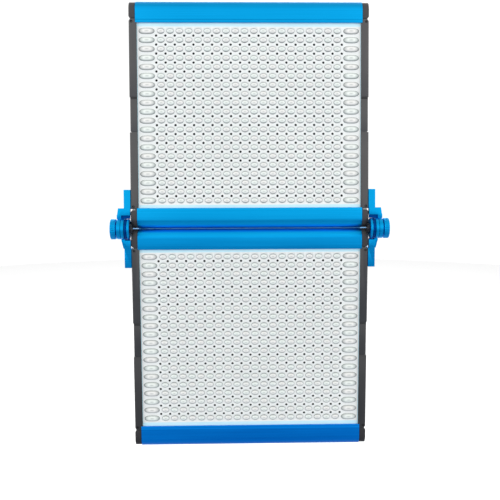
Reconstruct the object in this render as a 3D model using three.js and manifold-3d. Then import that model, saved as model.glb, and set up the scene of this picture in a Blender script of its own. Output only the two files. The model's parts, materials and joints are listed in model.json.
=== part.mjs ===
// Folding LED panel light: two heads hinged edge to edge, held by a flat-bar yoke
// with a stand receiver. Millimetres, +Z up. The heads face -Y and open like a book
// about the X axis. The origin is the centre of the receiver's mouth.
import * as THREE from "three";
import { mergeVertices } from "three/addons/utils/BufferGeometryUtils.js";
import Module from "manifold-3d";

const wasm = await Module();
wasm.setup();

// ---- Driving dimensions ----

// One head, measured in its own frame: x from its middle, y back from its front
// plane, z up from its bottom edge.
const HEAD_WIDTH = 320;
const HEAD_HEIGHT = 303;
const HEAD_DEPTH = 30;
const WALL = 2;
const CLEAR = 0.3;

const OUTER_RAIL_HEIGHT = 30;
const HINGE_RAIL_HEIGHT = 27;
const RAIL_LENGTH = 303;
const RAIL_RADIUS = 12;
const RAIL_LIP = 4;

const CAP_HEIGHT = 24.6;
const CAP_OUTER_X = 160.4;
const CAP_CHAMFER = 1.3;

const COVER_WIDTH = 10.5;
const COVER_END = 25;
const COVER_CHAMFER = 1.2;
const GRIP_RECESS = 0.8;
const GRIP_LENGTH = 48;

const SHEET_HALF_WIDTH = 152.5;
const SHEET_OVERLAP = 3.5;
const PLATE_Y = [2.3, 3.8];
const BOARD_Y = [8, 9.6];
const SINK_BASE_Y = [9.9, 12.4];
const SINK_FIN_Y = [12.3, 24.4];
const BACK_Y = [26.2, 27.7];
const SINK_HALF_WIDTH = 112;
const SINK_HALF_HEIGHT = 100;
const FIN_COUNT = 15;
const FIN_THICKNESS = 1.6;
const CABLE_HOLE_RADIUS = 9;

// The driver housing on the back of a head.
const HOUSING_HALF_WIDTH = 115;
const HOUSING_Z = [56, 246];
const HOUSING_Y = [28, 54];
const HOUSING_RADIUS = 12;
const HOUSING_CHAMFER = 3;
const HOUSING_WALL = 2.2;
const VENT_COUNT = 9;
const VENT_PITCH = 7;
const VENT_SIZE = [66, 3];
const VENT_BOTTOM_Z = 164;
const VENT_OFFSET_X = 52;

const DRIVER_Y = [34, 35.6];
const DRIVER_HALF_WIDTH = 96;
const DRIVER_Z = [70, 232];
const DRIVER_BLOCKS = [
  { x: [-70, -34], height: 13, z: [128, 158] },
  { x: [24, 44], height: 10, z: [132, 152] },
  { x: [-88, -76], height: 12, z: [180, 222] },
];
const CAPACITORS = { x: [-12, 4, 62], radius: 6, height: 13, z: 140 };

// The controls, side by side on the fascia.
const CONTROL_Z = 92;
const FASCIA_HALF_WIDTH = 82;
const FASCIA_HALF_HEIGHT = 26;
const FASCIA_Y = [54.3, 57.3];
const FASCIA_INSET = 6;
const FASCIA_RADIUS = 6;
const FASCIA_CHAMFER = 0.8;
const INLET_X = -62;
const SWITCH_X = -36;
const DISPLAY_HALF = [20, 8];
const DIMMER_X = 36;
const COLOUR_X = 63;
const KNOB_SHAFT_RADIUS = 3;
const SHAFT_CLEAR = 0.4;
const KNOB_RADIUS = 11;
const KNOB_LENGTH = 11;
const INLET_RADIUS = 9;
const INLET_BORE_RADIUS = 6.8;
const SWITCH_HALF_WIDTH = 6.4;
const SWITCH_WINDOW_HALF = [6.8, 10.2];
const DISPLAY_RIM = 2;
const CONTROL_BEHIND = 5;
const SWITCH_PIVOT_Y = 54;
const SWITCH_TIP_DEG = 8;

// The pivot that both heads turn about, and how the heads sit on it.
const PIVOT_Y = -195;
const PIVOT_Z = 50;
const HEAD_SET_BACK = 1.5;
const HEAD_EDGE_GAP = 1.1;
const OVER_OPEN_DEG = 3.8;

// The hinge stack on the +X side, from the inside out.
const STUD_HEAD_X = [157.6, 160.7];
const ARM_X = [161, 164];
const SPACER_X = [164.3, 167.6];
const LOWER_LUG_X = [168, 172];
const UPPER_LUG_X = [172.6, 177.3];
const NECK_X = 177.6;
const TILT_KNOB_X = [178.9, 186.2];
const STUD_END_X = 183;
const STUD_RADIUS = 4.9;
const STUD_HEAD_RADIUS = 6.3;
const STUD_HOLE_RADIUS = 5.3;
const SPACER_RADIUS = 13.2;
const NECK_RADIUS = 8;
const LUG_RADIUS = 13.6;
const TILT_KNOB_RADIUS = 13.4;
const TILT_KNOB_RIBS = 16;
const RIB_DEPTH = 0.35;
const STEPS_PER_RIB = 3;

// The hinge plates, measured from the pivot.
const BAR_X = [160.3, 169.3];
const BAR_Y = [2, 20];
const BAR_Z = [27, 52.8];
const SHELF_INNER_X = 160.7;
const SHELF_FRONT_Y = 0.4;
const SHELF_INNER_BACK_Y = 7;
const SHELF_BACK_Y = 20;
const LOWER_SHELF = { z: 15.5, x: 172.8, end: 26.5 };
const UPPER_SHELF = { z: 16, x: 178.6, end: 28 };
const COVE_RADIUS = 14;
const COVE_BOTTOM_Z = 9.5;
const HOOD_BACK_Y = 4.6;

// The yoke and the receiver, in the part's own frame.
const ARM_HALF_HEIGHT = 9;
const CROSSBAR_Y = [-21, -17];
const BEND_RADIUS = 10;
const RECEIVER_RADIUS = 16.5;
const RECEIVER_HEIGHT = 62;
const SOCKET_RADIUS = 8.2;
const SOCKET_DEPTH = 50;
const PAD_HALF_WIDTH = 16;
const PAD_Y = -16.7;
const PAD_BOTTOM_Z = 38;
const BOLT_X = 8.5;
const BOLT_RADIUS = 3;
const BOLT_HEAD_RADIUS = 5;
const BOLT_Y = [-26.2, -9];
const CLAMP_Z = 20;
const CLAMP_STEM_RADIUS = 4;
const CLAMP_KNOB_RADIUS = 17;
const CLAMP_KNOB_LOBES = 5;
const STEPS_PER_LOBE = 8;
const CLAMP_HUB_RADIUS = 8;
const CLAMP_BOSS_RADIUS = 10;
const CLAMP_Y = [8.6, 22, 26, 38];

const CURVE_STEPS = 4;
const TURN_STEPS = 24;

// ---- Solids ----

const X = new THREE.Vector3(1, 0, 0);
const Y = new THREE.Vector3(0, 1, 0);
const Z = new THREE.Vector3(0, 0, 1);
const EXTRUDE_TURN = {
  x: new THREE.Matrix4().makeBasis(Y, Z, X),
  y: new THREE.Matrix4().makeBasis(X, Z, Y.clone().negate()),
  z: new THREE.Matrix4(),
};
const LATHE_TURN = {
  x: new THREE.Matrix4().makeBasis(Z, X, Y),
  y: new THREE.Matrix4(),
  z: new THREE.Matrix4().makeBasis(Y, Z, X),
};

function solidFrom(geometry) {
  geometry.deleteAttribute("normal");
  geometry.deleteAttribute("uv");
  const merged = mergeVertices(geometry, 1e-4);
  const vertProperties = new Float32Array(merged.attributes.position.array);
  const triVerts = new Uint32Array(merged.index.array);
  return new wasm.Manifold(new wasm.Mesh({ numProp: 3, vertProperties, triVerts }));
}

function geometryFrom(solid) {
  const mesh = solid.getMesh();
  const geometry = new THREE.BufferGeometry();
  geometry.setAttribute("position", new THREE.BufferAttribute(mesh.vertProperties, 3));
  geometry.setIndex(new THREE.BufferAttribute(mesh.triVerts, 1));
  geometry.computeVertexNormals();
  return geometry;
}

function joined(solids) {
  return solids.reduce((whole, next) => whole.add(next));
}

function cut(solid, tools) {
  return tools.reduce((left, tool) => left.subtract(tool), solid);
}

// A box between two limits on each axis.
function block([x0, x1], [y0, y1], [z0, z1]) {
  const geometry = new THREE.BoxGeometry(x1 - x0, y1 - y0, z1 - z0);
  geometry.translate((x0 + x1) / 2, (y0 + y1) / 2, (z0 + z1) / 2);
  return solidFrom(geometry);
}

// A flat outline pushed along an axis. The outline is drawn in the two other axes,
// in the order y z, x z or x y.
function pushed(axis, outline, [from, to], chamfer = 0) {
  const geometry = new THREE.ExtrudeGeometry(outline, {
    depth: to - from - 2 * chamfer,
    bevelEnabled: chamfer > 0,
    bevelThickness: chamfer,
    bevelSize: chamfer,
    bevelOffset: -chamfer,
    bevelSegments: 1,
    curveSegments: CURVE_STEPS,
  });
  geometry.translate(0, 0, (axis === "y" ? -to : from) + chamfer);
  geometry.applyMatrix4(EXTRUDE_TURN[axis]);
  return solidFrom(geometry);
}

// A profile of [radius, place along the axis] pairs, turned about an axis.
function turned(axis, profile) {
  const points = profile.map(([radius, along]) => new THREE.Vector2(radius, along));
  const geometry = new THREE.LatheGeometry(points, TURN_STEPS);
  geometry.applyMatrix4(LATHE_TURN[axis]);
  return solidFrom(geometry);
}

function rod(axis, radius, [from, to]) {
  return turned(axis, [[0, from], [radius, from], [radius, to], [0, to]]);
}

// A rod whose ends are chamfered.
function button(axis, radius, [from, to], chamfer) {
  return turned(axis, [
    [0, from],
    [radius - chamfer, from],
    [radius, from + chamfer],
    [radius, to - chamfer],
    [radius - chamfer, to],
    [0, to],
  ]);
}

function roundedRect(halfWidth, [low, high], radius) {
  const outline = new THREE.Shape();
  outline.moveTo(-halfWidth + radius, low);
  outline.absarc(halfWidth - radius, low + radius, radius, -Math.PI / 2, 0, false);
  outline.absarc(halfWidth - radius, high - radius, radius, 0, Math.PI / 2, false);
  outline.absarc(-halfWidth + radius, high - radius, radius, Math.PI / 2, Math.PI, false);
  outline.absarc(-halfWidth + radius, low + radius, radius, Math.PI, 1.5 * Math.PI, false);
  return outline;
}

// A round outline whose radius waves in and out once for each lobe.
function lobedOutline(radius, wave, lobes, stepsPerLobe) {
  const points = [];
  const steps = lobes * stepsPerLobe;
  for (let i = 0; i < steps; i += 1) {
    const angle = (2 * Math.PI * i) / steps;
    const reach = radius + wave * Math.cos(lobes * angle);
    points.push(new THREE.Vector2(reach * Math.cos(angle), reach * Math.sin(angle)));
  }
  return new THREE.Shape(points);
}

// ---- Finishes ----

const FINISHES = {
  anodised_blue: { color: 0x0a86d6, roughness: 0.34, metalness: 0.9 },
  moulded_black: { color: 0x1c1c1f, roughness: 0.55, metalness: 0 },
  powder_black: { color: 0x17181a, roughness: 0.6, metalness: 0.3 },
  lens_plastic: { color: 0xe8ebe9, roughness: 0.3, metalness: 0 },
  led_board: { color: 0x0c0d0d, roughness: 0.5, metalness: 0 },
  driver_board: { color: 0x0f5a28, roughness: 0.45, metalness: 0 },
  bare_aluminium: { color: 0xb9bcc0, roughness: 0.4, metalness: 1 },
  black_oxide: { color: 0x16171a, roughness: 0.35, metalness: 0.6 },
  zinc_steel: { color: 0xc4c6c8, roughness: 0.3, metalness: 1 },
  knob_black: { color: 0x141416, roughness: 0.45, metalness: 0 },
  display_glass: { color: 0x0a0f12, roughness: 0.1, metalness: 0 },
};

function addPiece(parent, name, solid, finish) {
  const material = new THREE.MeshStandardMaterial(FINISHES[finish]);
  const mesh = new THREE.Mesh(geometryFrom(solid), material);
  mesh.name = name;
  parent.add(mesh);
  return mesh;
}

// ---- A head's frame: rails, end caps and side covers ----

// The rounded outline that a rail and an end cap share, drawn in y and z with the
// head's outer edge at the bottom.
function edgeOutline(height, inset = 0) {
  const radius = RAIL_RADIUS - inset;
  const back = HEAD_DEPTH - inset;
  const outline = new THREE.Shape();
  outline.moveTo(inset, height);
  outline.absarc(inset + radius, inset + radius, radius, Math.PI, 1.5 * Math.PI, false);
  outline.absarc(back - radius, inset + radius, radius, 1.5 * Math.PI, 2 * Math.PI, false);
  outline.lineTo(back, height);
  return outline;
}

// A hollow extrusion with a lip along its front and its back.
function railSolid(height) {
  const span = [-RAIL_LENGTH / 2, RAIL_LENGTH / 2];
  const closedHeight = height - RAIL_LIP;
  return cut(pushed("x", edgeOutline(height), span), [
    pushed("x", edgeOutline(closedHeight - WALL, WALL), [span[0] - 1, span[1] + 1]),
    block([span[0] - 1, span[1] + 1], [WALL, HEAD_DEPTH - WALL], [closedHeight, height + 1]),
  ]);
}

function endCapSolid() {
  const span = [RAIL_LENGTH / 2 + CLEAR, CAP_OUTER_X];
  return pushed("x", edgeOutline(CAP_HEIGHT), span, CAP_CHAMFER);
}

// A channel along the head's side, open towards the middle, with a shallow grip
// recess halfway up. Its inner lip is notched to clear the rails' ends.
function sideCoverSolid(rails) {
  const outer = HEAD_WIDTH / 2;
  const inner = outer - COVER_WIDTH;
  const channel = new THREE.Shape();
  channel.moveTo(inner, 0);
  channel.lineTo(outer - COVER_CHAMFER, 0);
  channel.lineTo(outer, COVER_CHAMFER);
  channel.lineTo(outer, HEAD_DEPTH - COVER_CHAMFER);
  channel.lineTo(outer - COVER_CHAMFER, HEAD_DEPTH);
  channel.lineTo(inner, HEAD_DEPTH);
  channel.lineTo(inner, HEAD_DEPTH - WALL);
  channel.lineTo(outer - WALL, HEAD_DEPTH - WALL);
  channel.lineTo(outer - WALL, WALL);
  channel.lineTo(inner, WALL);
  const middle = HEAD_HEIGHT / 2;
  const grip = block(
    [outer - GRIP_RECESS, outer + 1],
    [-1, HEAD_DEPTH + 1],
    [middle - GRIP_LENGTH / 2, middle + GRIP_LENGTH / 2],
  );
  const railEnd = [0, RAIL_LENGTH / 2 + CLEAR];
  const depth = [-1, HEAD_DEPTH + 1];
  return cut(pushed("z", channel, [COVER_END, HEAD_HEIGHT - COVER_END]), [
    grip,
    block(railEnd, depth, [0, rails.bottom + CLEAR]),
    block(railEnd, depth, [HEAD_HEIGHT - rails.top - CLEAR, HEAD_HEIGHT]),
  ]);
}

function addFrame(head, prefix, rails) {
  addPiece(head, prefix + "bottom_rail", railSolid(rails.bottom), "anodised_blue");
  const topRail = addPiece(head, prefix + "top_rail", railSolid(rails.top), "anodised_blue");
  turnUpsideDown(topRail);
  for (const [side, mirror] of [["left", -1], ["right", 1]]) {
    const cover = addPiece(head, prefix + side + "_cover", sideCoverSolid(rails), "moulded_black");
    cover.scale.x = mirror;
    const low = addPiece(head, prefix + "bottom_" + side + "_cap", endCapSolid(), "moulded_black");
    low.scale.x = mirror;
    const high = addPiece(head, prefix + "top_" + side + "_cap", endCapSolid(), "moulded_black");
    high.scale.x = mirror;
    turnUpsideDown(high);
  }
}

// Turns a bottom-edge piece over to the head's top edge.
function turnUpsideDown(mesh) {
  mesh.rotation.x = Math.PI;
  mesh.position.set(0, HEAD_DEPTH, HEAD_HEIGHT);
}

// ---- A head's inner sheets ----

// A sheet whose edges lie between the rails' lips.
function sheetSolid(yRange, rails) {
  const zRange = [rails.bottom - SHEET_OVERLAP, HEAD_HEIGHT - rails.top + SHEET_OVERLAP];
  return block([-SHEET_HALF_WIDTH, SHEET_HALF_WIDTH], yRange, zRange);
}

function heatSinkSolid() {
  const middle = HEAD_HEIGHT / 2;
  const zRange = [middle - SINK_HALF_HEIGHT, middle + SINK_HALF_HEIGHT];
  const solids = [block([-SINK_HALF_WIDTH, SINK_HALF_WIDTH], SINK_BASE_Y, zRange)];
  const pitch = (2 * SINK_HALF_WIDTH - FIN_THICKNESS) / (FIN_COUNT - 1);
  for (let i = 0; i < FIN_COUNT; i += 1) {
    const x = -SINK_HALF_WIDTH + i * pitch;
    solids.push(block([x, x + FIN_THICKNESS], SINK_FIN_Y, zRange));
  }
  return joined(solids);
}

function backPanelSolid(rails) {
  const hole = rod("y", CABLE_HOLE_RADIUS, [BACK_Y[0] - 1, BACK_Y[1] + 1]);
  return cut(sheetSolid(BACK_Y, rails), [hole.translate([0, 0, HEAD_HEIGHT / 2])]);
}

function addSheets(head, prefix, rails) {
  addPiece(head, prefix + "lens_plate", sheetSolid(PLATE_Y, rails), "lens_plastic");
  addPiece(head, prefix + "led_board", sheetSolid(BOARD_Y, rails), "led_board");
  addPiece(head, prefix + "heat_sink", heatSinkSolid(), "bare_aluminium");
  addPiece(head, prefix + "back_panel", backPanelSolid(rails), "powder_black");
}

// ---- A head's driver housing and controls ----

function housingSolid() {
  const outer = roundedRect(HOUSING_HALF_WIDTH, HOUSING_Z, HOUSING_RADIUS);
  const shell = pushed("y", outer, [HOUSING_Y[0] - HOUSING_CHAMFER, HOUSING_Y[1]], HOUSING_CHAMFER);
  const innerZ = [HOUSING_Z[0] + HOUSING_WALL, HOUSING_Z[1] - HOUSING_WALL];
  const inner = roundedRect(
    HOUSING_HALF_WIDTH - HOUSING_WALL,
    innerZ,
    HOUSING_RADIUS - HOUSING_WALL,
  );
  const innerBack = HOUSING_Y[1] - HOUSING_WALL;
  const hollow = pushed("y", inner, [HOUSING_Y[0] - 10, innerBack], HOUSING_CHAMFER);
  const open = block([-200, 200], [0, HOUSING_Y[0]], [0, HEAD_HEIGHT]);
  const window = block(
    [-FASCIA_HALF_WIDTH + FASCIA_INSET, FASCIA_HALF_WIDTH - FASCIA_INSET],
    [innerBack - 1, HOUSING_Y[1] + 1],
    [CONTROL_Z - FASCIA_HALF_HEIGHT + FASCIA_INSET, CONTROL_Z + FASCIA_HALF_HEIGHT - FASCIA_INSET],
  );
  return cut(shell, [hollow, open, window, ...ventCutters(innerBack)]);
}

function ventCutters(innerBack) {
  const cutters = [];
  const [length, height] = VENT_SIZE;
  for (const centre of [-VENT_OFFSET_X, VENT_OFFSET_X]) {
    for (let i = 0; i < VENT_COUNT; i += 1) {
      const z = VENT_BOTTOM_Z + i * VENT_PITCH;
      const xRange = [centre - length / 2, centre + length / 2];
      cutters.push(block(xRange, [innerBack - 1, HOUSING_Y[1] + 1], [z, z + height]));
    }
  }
  return cutters;
}

// The driver board with its transformer, choke, connector and capacitors.
function driverSolid() {
  const top = DRIVER_Y[1] - 0.1;
  const parts = [block([-DRIVER_HALF_WIDTH, DRIVER_HALF_WIDTH], DRIVER_Y, DRIVER_Z)];
  for (const { x, height, z } of DRIVER_BLOCKS) {
    parts.push(block(x, [top, top + height], z));
  }
  const { radius, height, z } = CAPACITORS;
  for (const x of CAPACITORS.x) {
    parts.push(rod("y", radius, [top, top + height]).translate([x, 0, z]));
  }
  return joined(parts);
}

function fasciaSolid() {
  const zRange = [CONTROL_Z - FASCIA_HALF_HEIGHT, CONTROL_Z + FASCIA_HALF_HEIGHT];
  const outline = roundedRect(FASCIA_HALF_WIDTH, zRange, FASCIA_RADIUS);
  const plate = pushed("y", outline, FASCIA_Y, FASCIA_CHAMFER);
  const through = [FASCIA_Y[0] - 1, FASCIA_Y[1] + 1];
  const [displayX, displayZ] = DISPLAY_HALF;
  const [switchX, switchZ] = SWITCH_WINDOW_HALF;
  return cut(plate, [
    rod("y", INLET_RADIUS + CLEAR, through).translate([INLET_X, 0, CONTROL_Z]),
    rod("y", KNOB_SHAFT_RADIUS + SHAFT_CLEAR, through).translate([DIMMER_X, 0, CONTROL_Z]),
    rod("y", KNOB_SHAFT_RADIUS + SHAFT_CLEAR, through).translate([COLOUR_X, 0, CONTROL_Z]),
    block(
      [-displayX - CLEAR, displayX + CLEAR],
      through,
      [CONTROL_Z - displayZ - CLEAR, CONTROL_Z + displayZ + CLEAR],
    ),
    block(
      [SWITCH_X - switchX, SWITCH_X + switchX],
      through,
      [CONTROL_Z - switchZ, CONTROL_Z + switchZ],
    ),
  ]);
}

// A window that shows through the fascia, with a rim behind it.
function displaySolid() {
  const [halfX, halfZ] = DISPLAY_HALF;
  return joined([
    block([-halfX, halfX], [FASCIA_Y[0] - 1, FASCIA_Y[1] - CLEAR], [-halfZ, halfZ]),
    block(
      [-halfX - DISPLAY_RIM, halfX + DISPLAY_RIM],
      [FASCIA_Y[0] - 2.5, FASCIA_Y[0] - CLEAR],
      [-halfZ - DISPLAY_RIM, halfZ + DISPLAY_RIM],
    ),
  ]).translate([0, 0, CONTROL_Z]);
}

function controlKnobSolid() {
  const start = FASCIA_Y[1] + 0.5;
  const end = start + KNOB_LENGTH;
  return turned("y", [
    [0, FASCIA_Y[0] - CONTROL_BEHIND],
    [KNOB_SHAFT_RADIUS, FASCIA_Y[0] - CONTROL_BEHIND],
    [KNOB_SHAFT_RADIUS, start],
    [KNOB_RADIUS, start],
    [KNOB_RADIUS, start + 2],
    [KNOB_RADIUS - 1, start + 2.6],
    [KNOB_RADIUS - 1.5, end - 1],
    [KNOB_RADIUS - 2.5, end],
    [0, end],
  ]);
}

// A round socket whose flange rests on the fascia.
function inletSolid() {
  const rimFront = FASCIA_Y[1] + 2;
  return turned("y", [
    [0, FASCIA_Y[0] - 2 * CONTROL_BEHIND],
    [INLET_RADIUS, FASCIA_Y[0] - 2 * CONTROL_BEHIND],
    [INLET_RADIUS, FASCIA_Y[1] + CLEAR],
    [INLET_RADIUS + 2.5, FASCIA_Y[1] + CLEAR],
    [INLET_RADIUS + 2.5, rimFront - 0.6],
    [INLET_RADIUS + 1.9, rimFront],
    [INLET_BORE_RADIUS, rimFront],
    [INLET_BORE_RADIUS, FASCIA_Y[0] - 8],
    [0, FASCIA_Y[0] - 8],
  ]);
}

// A rocker about X. Its profile is in y and z from its pivot.
function rockerSolid() {
  const profile = new THREE.Shape();
  profile.moveTo(-5, -5);
  profile.lineTo(2.6, -9.4);
  profile.lineTo(4.4, -8.6);
  profile.lineTo(3.7, 0);
  profile.lineTo(4.4, 8.6);
  profile.lineTo(2.6, 9.4);
  profile.lineTo(-5, 5);
  return pushed("x", profile, [-SWITCH_HALF_WIDTH, SWITCH_HALF_WIDTH]);
}

function addDriver(head, prefix) {
  addPiece(head, prefix + "rear_housing", housingSolid(), "powder_black");
  addPiece(head, prefix + "driver_board", driverSolid(), "driver_board");
  addPiece(head, prefix + "control_fascia", fasciaSolid(), "moulded_black");
  addPiece(head, prefix + "display_window", displaySolid(), "display_glass");
  const dimmer = addPiece(head, prefix + "dimmer_knob", controlKnobSolid(), "knob_black");
  dimmer.position.set(DIMMER_X, 0, CONTROL_Z);
  const colour = addPiece(head, prefix + "colour_knob", controlKnobSolid(), "knob_black");
  colour.position.set(COLOUR_X, 0, CONTROL_Z);
  const inlet = addPiece(head, prefix + "power_inlet", inletSolid(), "zinc_steel");
  inlet.position.set(INLET_X, 0, CONTROL_Z);
  const rocker = addPiece(head, prefix + "power_switch", rockerSolid(), "knob_black");
  rocker.position.set(SWITCH_X, SWITCH_PIVOT_Y, CONTROL_Z);
  rocker.rotation.x = THREE.MathUtils.degToRad(-SWITCH_TIP_DEG);
}

// ---- The hinge between the heads ----

// A hinge plate of the upper head on the +X side, from the pivot. It is a bar on the
// side cover, a shelf over the end cap and a lug on the pivot. Under the shelf, a hood
// covers the yoke's round end and a cove follows the lugs. The lower head's plate is
// the same kind of piece, hanging down.
function hingePlateSolid(lugX, shelf, up) {
  const zSpan = (near, far) => (up ? [near, far] : [-far, -near]);
  const [lugInner] = LOWER_LUG_X;
  const inboard = [SHELF_INNER_X, lugInner + 1];
  const outboard = [lugInner, shelf.x];
  const under = shelf.z + 1;
  const coveBlock = block(outboard, [HOOD_BACK_Y, SHELF_BACK_Y], zSpan(COVE_BOTTOM_Z, under));
  const plate = joined([
    block(BAR_X, BAR_Y, zSpan(...BAR_Z)),
    block(inboard, [SHELF_FRONT_Y, SHELF_INNER_BACK_Y], zSpan(shelf.z, shelf.end + 1)),
    block(inboard, [SHELF_FRONT_Y, HOOD_BACK_Y], zSpan(COVE_RADIUS, under)),
    block(outboard, [SHELF_FRONT_Y, SHELF_BACK_Y], zSpan(shelf.z, shelf.end)),
    cut(coveBlock, [rod("x", COVE_RADIUS, [lugInner - 1, shelf.x + 1])]),
    block(lugX, [SHELF_FRONT_Y, LUG_RADIUS], zSpan(0, under)),
    rod("x", LUG_RADIUS, lugX),
  ]);
  return cut(plate, [rod("x", STUD_HOLE_RADIUS, [lugX[0] - 1, lugX[1] + 1])]);
}

function studSolid() {
  return turned("x", [
    [0, STUD_HEAD_X[0]],
    [STUD_HEAD_RADIUS, STUD_HEAD_X[0]],
    [STUD_HEAD_RADIUS, STUD_HEAD_X[1]],
    [STUD_RADIUS, STUD_HEAD_X[1]],
    [STUD_RADIUS, STUD_END_X],
    [0, STUD_END_X],
  ]);
}

function spacerSolid() {
  return cut(rod("x", SPACER_RADIUS, SPACER_X), [
    rod("x", STUD_HOLE_RADIUS, [SPACER_X[0] - 1, SPACER_X[1] + 1]),
  ]);
}

// A ribbed thumb knob with a plain neck, threaded on the stud.
function tiltKnobSolid() {
  const ribs = lobedOutline(TILT_KNOB_RADIUS, RIB_DEPTH, TILT_KNOB_RIBS, STEPS_PER_RIB);
  const body = joined([
    pushed("x", ribs, TILT_KNOB_X, 0.9),
    rod("x", NECK_RADIUS, [NECK_X, TILT_KNOB_X[0] + 1]),
  ]);
  return cut(body, [rod("x", STUD_HOLE_RADIUS, [NECK_X - 1, STUD_END_X + 1])]);
}

// Adds a pair of mirrored pieces, left and right, from the +X one.
function addPair(parent, name, solid, finish) {
  addPiece(parent, name + "_left", solid, finish).scale.x = -1;
  addPiece(parent, name + "_right", solid, finish);
}

// ---- The yoke and the stand receiver ----

// A flat bar bent to a U. Its outline is drawn in x and y, then given the bar's width.
function yokeSolid() {
  const [inner, outer] = ARM_X;
  const [front, back] = CROSSBAR_Y;
  const innerBend = BEND_RADIUS - (outer - inner);
  const bar = new THREE.Shape();
  bar.moveTo(-outer, PIVOT_Y);
  bar.lineTo(-inner, PIVOT_Y);
  bar.absarc(-inner + innerBend, front - innerBend, innerBend, Math.PI, Math.PI / 2, true);
  bar.absarc(inner - innerBend, front - innerBend, innerBend, Math.PI / 2, 0, true);
  bar.lineTo(inner, PIVOT_Y);
  bar.lineTo(outer, PIVOT_Y);
  bar.absarc(outer - BEND_RADIUS, back - BEND_RADIUS, BEND_RADIUS, 0, Math.PI / 2, false);
  bar.absarc(-outer + BEND_RADIUS, back - BEND_RADIUS, BEND_RADIUS, Math.PI / 2, Math.PI, false);
  const zRange = [PIVOT_Z - ARM_HALF_HEIGHT, PIVOT_Z + ARM_HALF_HEIGHT];
  const solids = [pushed("z", bar, zRange)];
  const cutters = [];
  for (const [low, high] of [ARM_X, [-outer, -inner]]) {
    solids.push(rod("x", LUG_RADIUS, [low, high]).translate([0, PIVOT_Y, PIVOT_Z]));
    const hole = rod("x", STUD_HOLE_RADIUS, [low - 1, high + 1]);
    cutters.push(hole.translate([0, PIVOT_Y, PIVOT_Z]));
  }
  for (const x of [-BOLT_X, BOLT_X]) {
    const hole = rod("y", BOLT_RADIUS + CLEAR, [front - 1, back + 1]);
    cutters.push(hole.translate([x, 0, PIVOT_Z]));
  }
  return cut(joined(solids), cutters);
}

// A casting with a pad for the crossbar, a socket for the stand's stud and a
// threaded hole for the clamp knob.
function receiverSolid() {
  const casting = joined([
    button("z", RECEIVER_RADIUS, [0, RECEIVER_HEIGHT], 1.5),
    block([-PAD_HALF_WIDTH, PAD_HALF_WIDTH], [PAD_Y, 0], [PAD_BOTTOM_Z, RECEIVER_HEIGHT]),
    rod("y", CLAMP_BOSS_RADIUS, [0, CLAMP_Y[1] - 2]).translate([0, 0, CLAMP_Z]),
  ]);
  const clampHole = rod("y", CLAMP_STEM_RADIUS + CLEAR, [0, CLAMP_Y[1]]);
  return cut(casting, [
    rod("z", SOCKET_RADIUS, [-1, SOCKET_DEPTH]),
    clampHole.translate([0, 0, CLAMP_Z]),
    ...[-BOLT_X, BOLT_X].map((x) =>
      rod("y", BOLT_RADIUS + CLEAR, [PAD_Y - 1, BOLT_Y[1] + CLEAR]).translate([x, 0, PIVOT_Z]),
    ),
  ]);
}

function boltSolid() {
  const headEnd = CROSSBAR_Y[0] - CLEAR;
  return turned("y", [
    [0, BOLT_Y[0]],
    [BOLT_HEAD_RADIUS - 0.6, BOLT_Y[0]],
    [BOLT_HEAD_RADIUS, BOLT_Y[0] + 0.6],
    [BOLT_HEAD_RADIUS, headEnd],
    [BOLT_RADIUS, headEnd],
    [BOLT_RADIUS, BOLT_Y[1]],
    [0, BOLT_Y[1]],
  ]);
}

// A lobed knob on a hub and a threaded stem that presses on the stand's stud.
function clampKnobSolid() {
  const [tip, hubStart, grip, end] = CLAMP_Y;
  const lobes = lobedOutline(CLAMP_KNOB_RADIUS - 2, 2, CLAMP_KNOB_LOBES, STEPS_PER_LOBE);
  return joined([
    rod("y", CLAMP_STEM_RADIUS, [tip, grip + 1]),
    rod("y", CLAMP_HUB_RADIUS, [hubStart, grip + 1]),
    pushed("y", lobes, [grip, end], 1.2),
  ]).translate([0, 0, CLAMP_Z]);
}

function addStandParts(light) {
  addPiece(light, "yoke", yokeSolid(), "anodised_blue");
  addPiece(light, "stand_receiver", receiverSolid(), "powder_black");
  addPiece(light, "receiver_clamp_knob", clampKnobSolid(), "knob_black");
  for (const [side, x] of [["left", -BOLT_X], ["right", BOLT_X]]) {
    const bolt = addPiece(light, "receiver_bolt_" + side, boltSolid(), "black_oxide");
    bolt.position.set(x, 0, PIVOT_Z);
  }
}

// ---- The whole light ----

// Everything that turns with one head, about the pivot.
function headGroup(prefix, bottomEdge, rails) {
  const swing = new THREE.Group();
  swing.position.set(0, PIVOT_Y, PIVOT_Z);
  const head = new THREE.Group();
  head.position.set(0, HEAD_SET_BACK, bottomEdge);
  addFrame(head, prefix, rails);
  addSheets(head, prefix, rails);
  addDriver(head, prefix);
  swing.add(head);
  return swing;
}

const light = new THREE.Group();
addStandParts(light);

const lowerRails = { bottom: OUTER_RAIL_HEIGHT, top: HINGE_RAIL_HEIGHT };
const lower = headGroup("lower_", -HEAD_EDGE_GAP - HEAD_HEIGHT, lowerRails);
const lowerPlate = hingePlateSolid(LOWER_LUG_X, LOWER_SHELF, false);
addPair(lower, "lower_hinge_plate", lowerPlate, "anodised_blue");
addPair(lower, "hinge_stud", studSolid(), "black_oxide");
addPair(lower, "hinge_spacer", spacerSolid(), "anodised_blue");
addPair(lower, "tilt_knob", tiltKnobSolid(), "anodised_blue");
light.add(lower);

const upperRails = { bottom: HINGE_RAIL_HEIGHT, top: OUTER_RAIL_HEIGHT };
const upper = headGroup("upper_", HEAD_EDGE_GAP, upperRails);
upper.rotation.x = THREE.MathUtils.degToRad(-OVER_OPEN_DEG);
const upperPlate = hingePlateSolid(UPPER_LUG_X, UPPER_SHELF, true);
addPair(upper, "upper_hinge_plate", upperPlate, "anodised_blue");
light.add(upper);

export default light;
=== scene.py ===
"""Looks of the folding LED panel light: two heads on a hinge, a yoke and a stand receiver."""
import json
import math
import random

import bmesh
import bpy
from mathutils import Matrix, Vector


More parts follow.
